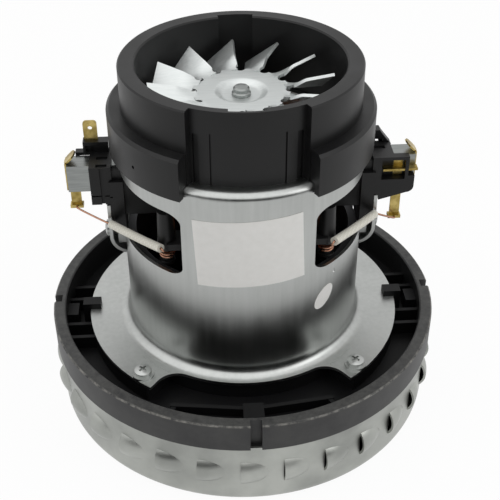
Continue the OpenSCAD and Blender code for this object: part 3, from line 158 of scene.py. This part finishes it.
# %% Zinc-plated drawn steel
zinc_steel, tree, shader, place = start_material(
    "zinc_plated_drawn_steel", Metallic=1.0, Anisotropic=0.6)
around = add(tree, "ShaderNodeTangent", direction_type="RADIAL", axis="Z")
streaks = noise(tree, stretch(tree, place, (1, 1, 0.06)), 1.6, 4)
clouds = noise(tree, place, 14, 3)
both = add(tree, "ShaderNodeMix", {"Factor": 0.45, "A": streaks, "B": clouds}).outputs[0]
connect(tree, shader, Tangent=around.outputs[0],
        Base_Color=two_tones(tree, both, "#a6a8a6", "#b6b8b6", 0.3, 0.7),
        Roughness=spread(tree, both, 0.3, 0.7, 0.3, 0.38),
        Normal=bump(tree, streaks, 0.06, 0.02))
print("made", zinc_steel.name)

# %% [markdown]
# ## Drawn aluminium of the drum
# The drum is pressed from thin aluminium. It is more matt than the can, because the press leaves
# a fine orange-peel grain and soft rubbed patches. Both are noises, one with features of about a
# millimetre, coarse enough to show, and one of two centimetres.

# %% Drawn aluminium
drum_aluminium, tree, shader, place = start_material("drawn_aluminium", Metallic=1.0)
peel = noise(tree, place, 0.8, 2)
rubbed = noise(tree, place, 20, 4)
connect(tree, shader,
        Base_Color=two_tones(tree, rubbed, "#8f918d", "#b2b4af", 0.32, 0.68),
        Roughness=spread(tree, rubbed, 0.3, 0.7, 0.34, 0.44),
        Normal=bump(tree, peel, 0.2, 0.03))
print("made", drum_aluminium.name)

# %% [markdown]
# ## Stamped aluminium of the fan
# The fan is stamped and twisted from rolled sheet. Rolling leaves straight lines, about half a
# millimetre apart, and the blades stay brighter than the drum. A noise stretched along X draws
# the rolling lines.

# %% Stamped aluminium
fan_aluminium, tree, shader, place = start_material("stamped_aluminium", Metallic=1.0)
lines = noise(tree, stretch(tree, place, (0.05, 1, 1)), 0.6, 2)
connect(tree, shader,
        Base_Color=two_tones(tree, lines, "#c6cac9", "#d2d5d4", 0.3, 0.7),
        Roughness=spread(tree, lines, 0.3, 0.7, 0.42, 0.5))
print("made", fan_aluminium.name)

# %% [markdown]
# ## Moulded nylon of the collar and the holders
# The black mouldings are glass-filled nylon: a dark grey rather than a true black, with a satin
# skin, a fine spark-eroded grain, and paler flow clouds where the glass lies near the skin.

# %% Glass-filled moulded nylon
black_nylon, tree, shader, place = start_material(
    "glass_filled_moulded_nylon", Specular_IOR_Level=0.32)
grain = noise(tree, place, 0.6, 3)
flow = noise(tree, place, 16, 4)
connect(tree, shader,
        Base_Color=two_tones(tree, flow, "#0b0b0c", "#151515", 0.35, 0.7),
        Roughness=spread(tree, flow, 0.3, 0.7, 0.38, 0.5),
        Normal=bump(tree, grain, 0.25, 0.04))
print("made", black_nylon.name)

# %% [markdown]
# ## The scuffed mounting ring, with painted shade and light
# The ring is the same nylon, but its rim has been rubbed: the outer wall is dull, the top face is
# scratched, and the outer edge is worn pale in short dashes. The top face is also painted a lighter
# grey where light falls on it from above, and the inner wall is painted near-black as the shade down
# in the trough. Wear and painted light belong to a place, so the material measures the distance
# from the shaft's axis and the height, and lets noise break both up.

# %% Scuffed moulded nylon with painted shade and light
RIM_BORE_R = 67.5 * MM
ring_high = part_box("mounting_ring")[1]


def times(tree, first, second):
    return add(tree, "ShaderNodeMath", {0: first, 1: second}, operation="MULTIPLY").outputs[0]


def blend(tree, share, first, second):
    """The first colour where the share is zero, and the second where it is one."""
    inputs = {"Factor": share, "A": first, "B": second}
    return add(tree, "ShaderNodeMix", inputs, data_type="RGBA").outputs["Result"]


ring_nylon, tree, shader, place = start_material(
    "scuffed_shade_painted_nylon", Specular_IOR_Level=0.45, Roughness=0.48)
spot = add(tree, "ShaderNodeSeparateXYZ", {"Vector": place}).outputs
flat = add(tree, "ShaderNodeCombineXYZ", {"X": spot["X"], "Y": spot["Y"]}).outputs[0]
radius = add(tree, "ShaderNodeVectorMath", {0: flat}, operation="LENGTH").outputs["Value"]
near_edge = spread(tree, radius, ring_high.x - 0.6 * MM, ring_high.x - 0.3 * MM)
near_top = spread(tree, spot["Z"], ring_high.z - 0.8 * MM, ring_high.z - 0.4 * MM)
lit_scratched_top = spread(tree, spot["Z"], ring_high.z - 0.2 * MM, ring_high.z - 0.1 * MM)
outside_painted_shade = spread(tree, radius, RIM_BORE_R + 0.2 * MM, RIM_BORE_R + 0.5 * MM)
dashes = noise(tree, place, 2.4, 5, Roughness=0.65)
scratches = noise(tree, place, 2.2, 6, Roughness=0.7)
flow = noise(tree, place, 11, 5, Roughness=0.6)
worn = times(tree, times(tree, near_edge, near_top), spread(tree, dashes, 0.4, 0.7))
rubbed = times(tree, lit_scratched_top, spread(tree, scratches, 0.35, 0.75))
skin = two_tones(tree, flow, "#1c1c1d", "#313130", 0.35, 0.7)
# Painted shade: the inner wall, down in the trough, is painted near-black.
skin = blend(tree, outside_painted_shade, linear("#0a0a0b"), skin)
# Painted light and wear: the scratched top face is painted a lighter grey, as light from above makes
# it.
skin = blend(tree, rubbed, skin, linear("#474745"))
skin = blend(tree, worn, skin, linear("#85837d"))
connect(tree, shader, Base_Color=skin, Normal=bump(tree, scratches, 0.3, 0.05))
print("made", ring_nylon.name)

# %% [markdown]
# ## The bearing plate
# The plate under the can is moulded with the ring. It stands deep in the can's shade, and that
# shade is painted into its colour: near-black, the darkest place of the whole object.
# A low specular level keeps it from mirroring the white room.

# %% Moulded nylon with painted shade
plate_nylon, tree, shader, place = start_material(
    "shade_painted_moulded_nylon", Specular_IOR_Level=0.2, Roughness=0.5)
flow = noise(tree, place, 12, 3)
# Painted shade: a near-black colour stands in for the shade under the can.
connect(tree, shader, Base_Color=two_tones(tree, flow, "#050506", "#0b0b0c"))
print("made", plate_nylon.name)

# %% [markdown]
# ## Small metals
# The brush tubes, the shaft and the bearings are bright plated or ground steel. The terminals are
# stamped brass with a faint tarnish. The windings are enamelled copper: metal under a thin
# clear coat, which the coat sockets give. The leads are bare, so they are paler and duller.

# %% Bright plated steel
bright_steel, tree, shader, place = start_material("nickel_plated_steel", Metallic=1.0)
lines = noise(tree, stretch(tree, place, (0.08, 1, 1)), 0.9, 3)
connect(tree, shader,
        Base_Color=two_tones(tree, lines, "#6c6f6e", "#a4a7a5"),
        Roughness=spread(tree, lines, 0, 1, 0.22, 0.4))
print("made", bright_steel.name)

# %% Stamped brass
brass, tree, shader, place = start_material("stamped_brass", Metallic=1.0)
tarnish = noise(tree, place, 2.5, 4)
connect(tree, shader,
        Base_Color=two_tones(tree, tarnish, "#86733c", "#bfab6c", 0.3, 0.65),
        Roughness=spread(tree, tarnish, 0, 1, 0.42, 0.24))
print("made", brass.name)

# %% Enamelled copper
copper, tree, shader, place = start_material(
    "enamelled_copper_wire", Metallic=1.0, Roughness=0.3, Coat_Weight=0.6, Coat_Roughness=0.12)
shade = noise(tree, place, 3, 3)
connect(tree, shader, Base_Color=two_tones(tree, shade, "#96481f", "#c9783c", 0.3, 0.7))
print("made", copper.name)

# %% Bare copper
bare_copper, tree, shader, place = start_material("bare_copper_wire", Metallic=1.0, Roughness=0.38)
dull = noise(tree, place, 1.5, 3)
connect(tree, shader, Base_Color=two_tones(tree, dull, "#94664f", "#cfa28a"))
print("made", bare_copper.name)

# %% [markdown]
# ## The hidden materials
# The cores are stacks of iron stampings half a millimetre thick, so bands along Z draw the stack.
# The brushes are pressed carbon, grey-black with a faint glitter, and the armature's end plates
# are brown fibre board.


# %% Laminated iron
def bands_mm(size):
    """The wave texture's scale at which its bands are size millimetres apart."""
    return math.tau / 20 / (size * MM)


core_iron, tree, shader, place = start_material("laminated_iron", Metallic=0.8, Roughness=0.55)
stack = add(tree, "ShaderNodeTexWave", {
    "Vector": place, "Scale": bands_mm(0.5), "Distortion": 0.4, "Detail": 1},
    bands_direction="Z").outputs["Fac"]
connect(tree, shader,
        Base_Color=two_tones(tree, stack, "#3b3b3d", "#6c6c6e"),
        Normal=bump(tree, stack, 0.4, 0.05))
print("made", core_iron.name)

# %% Pressed carbon
carbon, tree, shader, place = start_material("pressed_carbon", Roughness=0.5)
grit = add(tree, "ShaderNodeTexVoronoi", {"Vector": place, "Scale": per_mm(0.5)})
connect(tree, shader,
        Base_Color=two_tones(tree, grit.outputs["Distance"], "#4a4a4d", "#29292b", 0.0, 0.5))
print("made", carbon.name)

# %% Brown fibre board
fibre, tree, shader, place = start_material("brown_fibre_board", Roughness=0.7)
felt = noise(tree, place, 1.2, 5)
connect(tree, shader, Base_Color=two_tones(tree, felt, "#5b3020", "#96604a"))
print("made", fibre.name)

# %% [markdown]
# ## Woven sleeving and sticker paper
# The leads wear a sleeve of varnished glass-fibre braid, cream and slightly shiny, with crossing
# strands about a millimetre apart. The stickers are off-white coated paper.

# %% Varnished glass-fibre braid
braid, tree, shader, place = start_material(
    "varnished_glass_fibre_braid", Roughness=0.55, Sheen_Weight=0.2)
strands = []
for turn in (20, 110):
    turned = add(tree, "ShaderNodeMapping", {
        "Vector": place, "Rotation": (0, 0, math.radians(turn))})
    strand = add(tree, "ShaderNodeTexWave", {
        "Vector": turned.outputs[0], "Scale": bands_mm(0.9), "Distortion": 0.6})
    strands.append(strand.outputs["Fac"])
weave = times(tree, *strands)
connect(tree, shader,
        Base_Color=two_tones(tree, weave, "#d3d0c3", "#e3e1d7"),
        Normal=bump(tree, weave, 0.2, 0.05))
print("made", braid.name)

# %% Coated sticker paper
paper, tree, shader, place = start_material("coated_sticker_paper", Roughness=0.45)
pulp = noise(tree, place, 2.5, 4)
connect(tree, shader, Base_Color=two_tones(tree, pulp, "#dcdbd7", "#e8e7e4"))
print("made", paper.name)

# %% [markdown]
# ## Dress the CAD nodes
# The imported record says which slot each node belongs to, so a small table from slot to material
# dresses the whole frame. The ring and its plate are the exceptions, with a nylon of their own.

# %% Materials onto the nodes
finish_of_slot = {
    "drum_aluminium": drum_aluminium, "fan_aluminium": fan_aluminium, "zinc_steel": zinc_steel,
    "black_plastic": black_nylon, "bright_steel": bright_steel, "core_iron": core_iron,
    "copper": copper, "brass": brass, "sleeve_glass_fibre": braid, "carbon": carbon,
    "brown_fibre": fibre,
}
for row in frame["record"]["subparts"]:
    materials = frame["nodes"][row["node"]].data.materials
    materials.clear()
    materials.append(finish_of_slot[row["material_slot"]])
frame["nodes"]["mounting_ring"].data.materials[0] = ring_nylon
frame["nodes"]["bearing_plate"].data.materials[0] = plate_nylon

# %% [markdown]
# ## Tools for meshes
# Every mesh piece is made in the same few moves. Something is selected, a modifier shapes it and is
# applied, and the object's own place and turn are moved into its mesh. At the end the piece gets its
# name and its material, and is told which body of the CAD model it rides on.


# %% Mesh helpers
def begin():
    if bpy.context.mode != "OBJECT":
        bpy.ops.object.mode_set(mode="OBJECT")
    bpy.ops.object.select_all(action="DESELECT")


def select_only(piece):
    begin()
    piece.select_set(True)
    bpy.context.view_layer.objects.active = piece


def new_object(name, data):
    made = bpy.data.objects.new(name, data)
    bpy.context.scene.collection.objects.link(made)
    return made


def apply_modifier(piece, kind, **settings):
    select_only(piece)
    modifier = piece.modifiers.new("step", kind)
    for name, value in settings.items():
        setattr(modifier, name, value)
    bpy.ops.object.modifier_apply(modifier=modifier.name)


def place_into_mesh():
    bpy.ops.object.transform_apply(location=True, rotation=True, scale=True)


def turn_outwards(piece, merge=0.0):
    """Turn all faces outwards, after merging points that lie closer than merge."""
    select_only(piece)
    bpy.ops.object.mode_set(mode="EDIT")
    bpy.ops.mesh.select_all(action="SELECT")
    if merge:
        bpy.ops.mesh.remove_doubles(threshold=merge)
    bpy.ops.mesh.normals_make_consistent(inside=False)
    bpy.ops.object.mode_set(mode="OBJECT")


def finish_piece(name, material, body, angle=30):
    piece = bpy.context.object
    piece.name = piece.data.name = name
    place_into_mesh()
    bpy.ops.object.shade_smooth_by_angle(angle=math.radians(angle))
    piece.data.materials.clear()
    piece.data.materials.append(material)
    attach(piece, body)
    print(name, "has", len(piece.data.polygons), "faces")
    return piece


# %% [markdown]
# ## The blank stickers on the can
# A paper label lies on the front of the can, and a small oval sticker lower down on its right.
# Both are a tenth of a millimetre thick and bent to the wall. So each starts as a flat stamp that
# is aimed at the can and a little tilted, as a hand sticks it on. A Boolean modifier then keeps
# what the stamp shares with a thin shell of the can's radius.

# %% Blank stickers
CAN_R, GLUE_GAP, PAPER_T = 42.7 * MM, 0.03 * MM, 0.1 * MM
STAMP_REACH, SHELL_H, SHELL_SIDES, OVAL_SIDES = 8 * MM, 60 * MM, 360, 72
LABEL_TURN, LABEL_LEAN, LABEL_Z = math.radians(-90.0), math.radians(2.7), 86.2 * MM
OVAL_TURN, OVAL_LEAN, OVAL_Z = math.radians(-52.6), math.radians(48), 61.0 * MM
LABEL_HALF_SIZE, OVAL_HALF_SIZE = (17.8 * MM, 12.8 * MM), (5.15 * MM, 3.15 * MM)


def stick_on_can(stamp, turn, lean, height, half_size):
    """Aim a stamp at the can, then keep what it shares with a thin shell of the can's radius."""
    out = Vector((math.cos(turn), math.sin(turn), 0))
    along = Vector((-out.y, out.x, 0)) * math.cos(lean) + Vector((0, 0, math.sin(lean)))
    aimed = Matrix((along, out.cross(along), out)).transposed().to_4x4()
    stamp.matrix_world = (Matrix.Translation(out * CAN_R + Vector((0, 0, height))) @ aimed
                          @ Matrix.Diagonal((*half_size, STAMP_REACH, 1)))
    place_into_mesh()
    begin()
    bpy.ops.mesh.primitive_cylinder_add(
        vertices=SHELL_SIDES, radius=CAN_R + GLUE_GAP, depth=SHELL_H, end_fill_type="NOTHING",
        location=(0, 0, height))
    shell = bpy.context.object
    apply_modifier(shell, "SOLIDIFY", thickness=PAPER_T, offset=1.0)
    apply_modifier(stamp, "BOOLEAN", operation="INTERSECT", object=shell, solver="EXACT")
    bpy.data.objects.remove(shell)


begin()
bpy.ops.mesh.primitive_cube_add(size=2.0)
stick_on_can(bpy.context.object, LABEL_TURN, LABEL_LEAN, LABEL_Z, LABEL_HALF_SIZE)
finish_piece("blank_label", paper, "housing")
begin()
bpy.ops.mesh.primitive_cylinder_add(vertices=OVAL_SIDES, radius=1.0, depth=2.0)
stick_on_can(bpy.context.object, OVAL_TURN, OVAL_LEAN, OVAL_Z, OVAL_HALF_SIZE)
finish_piece("blank_oval_sticker", paper, "housing")

# %% [markdown]
# ## The cooling fan
# The fan is one piece of sheet: a press cuts it out, dishes its middle and twists each blade out of
# the plane beside a round notch. The hub is a closed outline that a Screw modifier turns round the
# axis. A blade is a grid whose points are turned more and more from root to pitch, and Solidify
# gives it the sheet's thickness. Booleans join the hub and the blades and cut the notches.

# %% Fan hub
FAN_Z, FAN_SHEET, FAN_BORE_R, HUB_R, HUB_STEPS = 122.5, 1.0, 3.25, 16.5, 144
DISH_FLOOR_R, DISH_R, DISH_DEPTH, DISH_STEPS = 6.13, 9.4, 1.5, 24


def ease(t):
    t = min(1, max(0, t))
    return t * t * (3 - 2 * t)


dish = [(DISH_FLOOR_R + (DISH_R - DISH_FLOOR_R) * k / DISH_STEPS,
         FAN_Z - DISH_DEPTH * (1 - ease(k / DISH_STEPS))) for k in range(DISH_STEPS + 1)]
underside = [(FAN_BORE_R, FAN_Z - DISH_DEPTH), *dish, (HUB_R, FAN_Z)]
outline = underside + [(r, z + FAN_SHEET) for r, z in reversed(underside)]
hub_mesh = bpy.data.meshes.new("fan_hub")
hub_mesh.from_pydata([(r * MM, 0, z * MM) for r, z in outline],
                     [(i, (i + 1) % len(outline)) for i in range(len(outline))], [])
fan = new_object("fan_hub", hub_mesh)
apply_modifier(fan, "SCREW", axis="Z", steps=HUB_STEPS, render_steps=HUB_STEPS,
               use_merge_vertices=True, merge_threshold=0.001 * MM)
turn_outwards(fan)
print("hub outline has", len(outline), "points")

# %% Fan blades and notches
BLADES, BLADE_ROOT_R, BLADE_TIP_R, ROOT_HALF_W, TIP_HALF_W = 12, 15.0, 30.84, 3.2, 7.5
PITCH, BLADE_PHASE = math.radians(38), math.radians(12.7)
ROOT_TWIST, TWIST_END = 0.3, 0.45
NOTCH_R, NOTCH_H, NOTCH_SIDES = 1.6, 6, 32


def blade_point(share, side):
    """A point of a blade, by its share of the way to the tip and its side from -1 to 1."""
    turn = PITCH * (ROOT_TWIST + (1 - ROOT_TWIST) * ease(share / TWIST_END))
    half = ROOT_HALF_W + (TIP_HALF_W - ROOT_HALF_W) * share
    return Vector((BLADE_ROOT_R + (BLADE_TIP_R - BLADE_ROOT_R) * share,
                   side * half * math.cos(turn),
                   FAN_Z + FAN_SHEET / 2 - side * half * math.sin(turn))) * MM


def copies_round(piece, count, first_turn):
    """Copies of a piece round the axis, each with its own mesh, joined into one object."""
    begin()
    for i in range(count):
        copy = new_object(piece.name, piece.data.copy())
        copy.data.transform(Matrix.Rotation(first_turn + i * math.tau / count, 4, "Z"))
        copy.select_set(True)
        bpy.context.view_layer.objects.active = copy
    bpy.data.objects.remove(piece)
    bpy.ops.object.join()
    return bpy.context.object


begin()
bpy.ops.mesh.primitive_grid_add(x_subdivisions=24, y_subdivisions=8, size=1.0)
blade = bpy.context.object
for vertex in blade.data.vertices:
    vertex.co = blade_point(vertex.co.x + 0.5, 2 * vertex.co.y)
apply_modifier(blade, "SOLIDIFY", thickness=FAN_SHEET * MM, offset=0.0)
blades = copies_round(blade, BLADES, BLADE_PHASE)
turn_outwards(blades)
begin()
bpy.ops.mesh.primitive_cylinder_add(vertices=NOTCH_SIDES, radius=NOTCH_R * MM, depth=NOTCH_H * MM,
                                    location=(HUB_R * MM, 0, FAN_Z * MM))
place_into_mesh()
notches = copies_round(bpy.context.object, BLADES, BLADE_PHASE + math.pi / BLADES)
print("blades and notches:", BLADES, "each")

# %% Cooling fan
apply_modifier(fan, "BOOLEAN", operation="UNION", object=blades, solver="EXACT")
apply_modifier(fan, "BOOLEAN", operation="DIFFERENCE", object=notches, solver="EXACT")
bpy.data.objects.remove(blades)
bpy.data.objects.remove(notches)
fan = finish_piece("stamped_fan", fan_aluminium, "rotor", 12)
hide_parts("cooling_fan")

# %% [markdown]
# ## The field windings
# Each pole carries a winding of enamelled wire. The CAD solid follows it with few sides, so here
# the same route is drawn as a curve with a round bevel: rounded rectangles that step out along
# the pole, then come back in a second layer, flared where they leave the core.

# %% Field windings
COIL_HALF_W, COIL_HALF_H, COIL_MID_Z = 19.4, 17.35, 59.0
COIL_START_Y, COIL_PITCH, COIL_TURNS, COIL_WIRE_D = 24.4, 1.6, 4, 1.1
COIL_STEPS, CORNER_POWER, FLARE, FLARE_START = 72, 0.4, 0.2, 0.6


def soft(value):
    """A sine or cosine squared off, so that a circle becomes a rounded rectangle."""
    return math.copysign(abs(value) ** CORNER_POWER, value)


def coil_point(turn):
    along = turn if turn < COIL_TURNS else 2 * COIL_TURNS - turn
    layer = COIL_PITCH * min(1, max(0, 2 * (turn - COIL_TURNS) + 0.5))
    up = soft(math.sin(math.tau * turn))
    flare = 1 + FLARE * max(0, up - FLARE_START) / (1 - FLARE_START)
    return ((COIL_HALF_W + layer) * flare * soft(math.cos(math.tau * turn)),
            COIL_START_Y + COIL_PITCH * along, COIL_MID_Z + (COIL_HALF_H + layer) * up)


def tube_along(points, diameter, sides=4, caps=True):
    """A round tube along points in millimetres, drawn as a curve and made a mesh."""
    route = bpy.data.curves.new("route", "CURVE")
    route.dimensions = "3D"
    route.bevel_depth, route.bevel_resolution = diameter / 2 * MM, sides
    route.use_fill_caps = caps
    spline = route.splines.new("POLY")
    spline.points.add(len(points) - 1)
    for knot, point in zip(spline.points, points):
        knot.co = [p * MM for p in point] + [1]
    select_only(new_object("tube", route))
    bpy.ops.object.convert(target="MESH")
    return bpy.context.object


coil_route = [coil_point(i / COIL_STEPS) for i in range(2 * COIL_TURNS * COIL_STEPS + 1)]
for side, sign in (("rear", 1), ("front", -1)):
    tube_along([(sign * x, sign * y, z) for x, y, z in coil_route], COIL_WIRE_D)
    coil = finish_piece("winding_" + side, copper, "housing", 60)
    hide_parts("field_coil_" + side)

# %% [markdown]
# ## Leads and sleeves
# A bare lead leaves each terminal, runs through a braided sleeve that enters the can's window, dips
# under the coil frame's bar and is wound twice round its post. The sleeve bends in one easy curve,
# a quadratic Bezier. It is drawn as an open tube, and Solidify gives its wall, so the lead is seen
# to go in at one end and come out at the other.

# %% Routes of the leads
SLEEVE_START, SLEEVE_MID, SLEEVE_END = (Vector(p) for p in (
    (46.6, -9.8, 78.1), (37.76, -20.9, 79.9), (28.92, -32.0, 82.7)))
UNDER_POST = [Vector(p) for p in (
    (28.55, -32.46, 82.81), (28.12, -33.0, 82.05), (27.0, -31.14, 80.15), (26.8, -29.1, 78.73))]
POST, WRAP_R, WRAP_START = Vector((27.0, -26.4, 78.5)), 2.38, math.radians(-130)
WRAP_PITCH, WRAPS, ROUTE_STEPS = 1.05, 2, 24


def bend_point(a, b, c, t):
    return a * (1 - t) ** 2 + b * 2 * t * (1 - t) + c * t * t


def smooth_route(points, steps=8):
    """Points along a route that rounds off every corner of a short list of points."""
    middles = [(a + b) / 2 for a, b in zip(points, points[1:])]
    rounded = [points[0]]
    for start, corner, end in zip(middles, points[1:-1], middles[1:]):
        rounded += [bend_point(start, corner, end, i / steps) for i in range(steps + 1)]
    return rounded + [points[-1]]


def wrap_point(turns):
    angle = WRAP_START - math.tau * turns
    return POST + Vector((WRAP_R * math.cos(angle), WRAP_R * math.sin(angle), -WRAP_PITCH * turns))


sleeve_route = [bend_point(SLEEVE_START, SLEEVE_MID, SLEEVE_END, i / ROUTE_STEPS)
                for i in range(ROUTE_STEPS + 1)]
post_route = smooth_route([SLEEVE_END, *UNDER_POST, wrap_point(0)])
post_route += [wrap_point(i / ROUTE_STEPS) for i in range(1, WRAPS * ROUTE_STEPS + 1)]
print("points along the sleeve and round the post:", len(sleeve_route), len(post_route))

# %% Leads and sleeves
SLEEVE_D, SLEEVE_BORE, LEAD_D = 3.0, 1.0, 0.7
TERMINAL_FEET = (("left", -1, 58.9, 80.0), ("right", 1, 55.86, 70.2))
FOOT_Y, FOOT_BEND_Y, OVER_FOOT = -1.45, -2.4, 0.6
SAG_BACK, SAG_OUT, SAG_SHARE, MOUTH_BACK = 2, 1, 0.15, 0.7
into_sleeve = (SLEEVE_MID - SLEEVE_START).normalized()
for side, sign, foot_x, foot_z in TERMINAL_FEET:
    sleeve = tube_along([(sign * p.x, p.y, p.z) for p in sleeve_route], SLEEVE_D, 8, caps=False)
    apply_modifier(sleeve, "SOLIDIFY", thickness=(SLEEVE_D - SLEEVE_BORE) / 2 * MM, offset=-1.0)
    sleeve = finish_piece("braided_sleeve_" + side, braid, "housing", 40)
    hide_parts("lead_sleeve_" + side)
    sag = Vector((SAG_OUT, 0, SAG_SHARE * (foot_z - SLEEVE_START.z)))
    lead_route = smooth_route([
        Vector((foot_x, FOOT_Y, foot_z + OVER_FOOT)), Vector((foot_x, FOOT_BEND_Y, foot_z + OVER_FOOT)),
        SLEEVE_START - SAG_BACK * into_sleeve + sag, SLEEVE_START - MOUTH_BACK * into_sleeve,
        SLEEVE_START])
    lead_route += sleeve_route[1:] + post_route[1:]
    tube_along([(sign * p.x, p.y, p.z) for p in lead_route], LEAD_D)
    lead = finish_piece("bare_lead_" + side, bare_copper, "housing", 60)
    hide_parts("lead_wire_" + side)

# %% [markdown]
# ## The brush springs
# A coil spring pushes each brush along its tube. A Screw modifier winds a small circle up an
# axis, so one circle and one modifier make the spring.

# %% Brush springs
SPRING_START, SPRING_END, SPRING_Z = 40.1 * MM, 60.75 * MM, 93.3 * MM
SPRING_R, SPRING_WIRE_D, SPRING_CURLS = 2.2 * MM, 0.7 * MM, 8
CURL_STEPS, WIRE_SIDES, DOUBLES = 32, 10, 0.01 * MM
spring_rise = SPRING_END - SPRING_START - SPRING_WIRE_D
for side, sign in (("left", -1), ("right", 1)):
    begin()
    bpy.ops.mesh.primitive_circle_add(
        vertices=WIRE_SIDES, radius=SPRING_WIRE_D / 2, fill_type="NGON",
        location=(SPRING_R, 0, 0), rotation=(math.pi / 2, 0, 0))
    place_into_mesh()
    spring = bpy.context.object
    apply_modifier(spring, "SCREW", axis="Z", steps=CURL_STEPS, render_steps=CURL_STEPS,
                   screw_offset=spring_rise / SPRING_CURLS, iterations=SPRING_CURLS)
    spring.rotation_euler = (0, sign * math.pi / 2, 0)
    spring.location = (sign * (SPRING_START + SPRING_WIRE_D / 2), 0, SPRING_Z)
    place_into_mesh()
    turn_outwards(spring, DOUBLES)
    spring = finish_piece("brush_spring_coil_" + side, bright_steel, "housing", 60)
    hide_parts("brush_spring_" + side)
    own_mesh(spring)

# %% [markdown]
# ## Floor and light
# The picture is a plain product shot on white. The floor and the surround are white to the camera
# and in reflections, so bright metal shows the same white that the picture has round it. The floor
# keeps a share of its own shading, which is the faint shadow that the drum stands in.

# %% Floor
FLOOR_SIZE, FLOOR_Z, FLOOR_GLOW = 8.0, -0.5 * MM, 0.94
WHITE = linear("#ffffff")
begin()
bpy.ops.mesh.primitive_plane_add(size=FLOOR_SIZE, location=(0, 0, FLOOR_Z))
floor = bpy.context.object
floor.name = "studio_floor"


def seen_or_mirrored(tree):
    """One where a ray comes from the camera, a reflection or a pane, and zero for plain light."""
    ray = add(tree, "ShaderNodeLightPath").outputs
    seen = ray["Is Camera Ray"]
    for kind in ("Is Glossy Ray", "Is Transmission Ray"):
        seen = add(tree, "ShaderNodeMath", {0: seen, 1: ray[kind]}, operation="MAXIMUM").outputs[0]
    return seen


floor_paint, tree, shader, _ = start_material(
    "white_studio_floor", Base_Color=linear("#f4f4f4"), Roughness=0.9)
white = add(tree, "ShaderNodeEmission", {"Color": WHITE, "Strength": 1.0})
mixed = add(tree, "ShaderNodeMixShader", {
    0: times(tree, seen_or_mirrored(tree), FLOOR_GLOW), 1: shader.outputs[0], 2: white.outputs[0]})
tree.links.new(mixed.outputs[0], tree.nodes["Material Output"].inputs["Surface"])
floor.data.materials.append(floor_paint)
print("floor at", round(floor.location.z / MM, 2), "mm")

# %% Surround
SOFT_LIGHT, BACKDROP = 0.65, 1.0
world = bpy.data.worlds.new("white_surround")
bpy.context.scene.world = world
world.use_nodes = True
tree = world.node_tree
soft_light = add(tree, "ShaderNodeBackground", {"Color": WHITE, "Strength": SOFT_LIGHT})
backdrop = add(tree, "ShaderNodeBackground", {"Color": WHITE, "Strength": BACKDROP})
mixed = add(tree, "ShaderNodeMixShader", {
    0: seen_or_mirrored(tree), 1: soft_light.outputs[0], 2: backdrop.outputs[0]})
tree.links.new(mixed.outputs[0], tree.nodes["World Output"].inputs["Surface"])
print("surround made")

# %% [markdown]
# ## Black card and lamps
# In an all-white room bright metal looks like chalk. Photographers stand a black card behind the
# camera: every bulge then mirrors a dark band, and the louvres and edges get their shape. One
# broad lamp hangs high over the front left for the bright line in the can's bead, and a weak one
# stands on the right.

# %% Black card
CARD_PLACE, CARD_SIZE = (0, -0.9, 0.26), (2.4, 0.5, 1)
begin()
bpy.ops.mesh.primitive_plane_add(size=1.0, location=CARD_PLACE, rotation=(math.pi / 2, 0, 0))
card = bpy.context.object
card.name = "black_card"
card.scale = CARD_SIZE
place_into_mesh()
card.visible_camera = False
card_paint = start_material("black_card_paper", Base_Color=linear("#0c0c0c"), Roughness=0.9,
                            Specular_IOR_Level=0.1)[0]
card.data.materials.append(card_paint)
print("card stands", round(-card.data.vertices[0].co.y / MM), "mm in front")

# %% Lamps
LAMP_AIM = (0, 0, 0.07)
KEY_PLACE, KEY_SIZE, KEY_POWER = (-0.25, -0.3, 0.8), (1.8, 1.4), 4.5
FILL_PLACE, FILL_SIZE, FILL_POWER = (0.6, -0.35, 0.45), (0.4, 0.4), 1.0


def aim(thing, place, target, roll=0.0):
    """Stand a lamp or a camera somewhere, turned to look at a target."""
    thing.location = place
    thing.rotation_mode = "QUATERNION"
    look = (Vector(target) - Vector(place)).to_track_quat("-Z", "Y")
    thing.rotation_quaternion = look @ Quaternion((0, 0, 1), roll)


def lamp(name, place, size, power):
    light = bpy.data.lights.new(name, "AREA")
    light.shape, light.size, light.size_y, light.energy = "RECTANGLE", *size, power
    aim(new_object(name, light), place, LAMP_AIM)
    print(name, "of", power, "W")


lamp("key_lamp", KEY_PLACE, KEY_SIZE, KEY_POWER)
lamp("fill_lamp", FILL_PLACE, FILL_SIZE, FILL_POWER)

# %% [markdown]
# ## Camera
# The camera stands where the photograph's perspective puts it: about thirty-seven centimetres away,
# a little to the left of the front, looking down at thirty-six degrees. Its place and lens come
# from the ellipses that the drum, the ring and the collar make in the picture.

# %% Camera
CAMERA_PLACE = Vector((-16.9, -296.0, 271.9)) * MM
CAMERA_AIM = Vector((2.77, -0.18, 57.48)) * MM
CAMERA_ROLL, LENS, SENSOR_W = math.radians(-0.14), 70.44, 36.0
camera = bpy.data.cameras.new("photo_camera")
camera.lens, camera.sensor_width = LENS, SENSOR_W
camera.clip_start, camera.clip_end = 0.01, 20.0
tripod = new_object("photo_camera", camera)
aim(tripod, CAMERA_PLACE, CAMERA_AIM, CAMERA_ROLL)
bpy.context.scene.camera = tripod
bpy.context.scene.view_settings.view_transform = "Standard"
print("camera distance:", round((CAMERA_AIM - CAMERA_PLACE).length / MM), "mm")
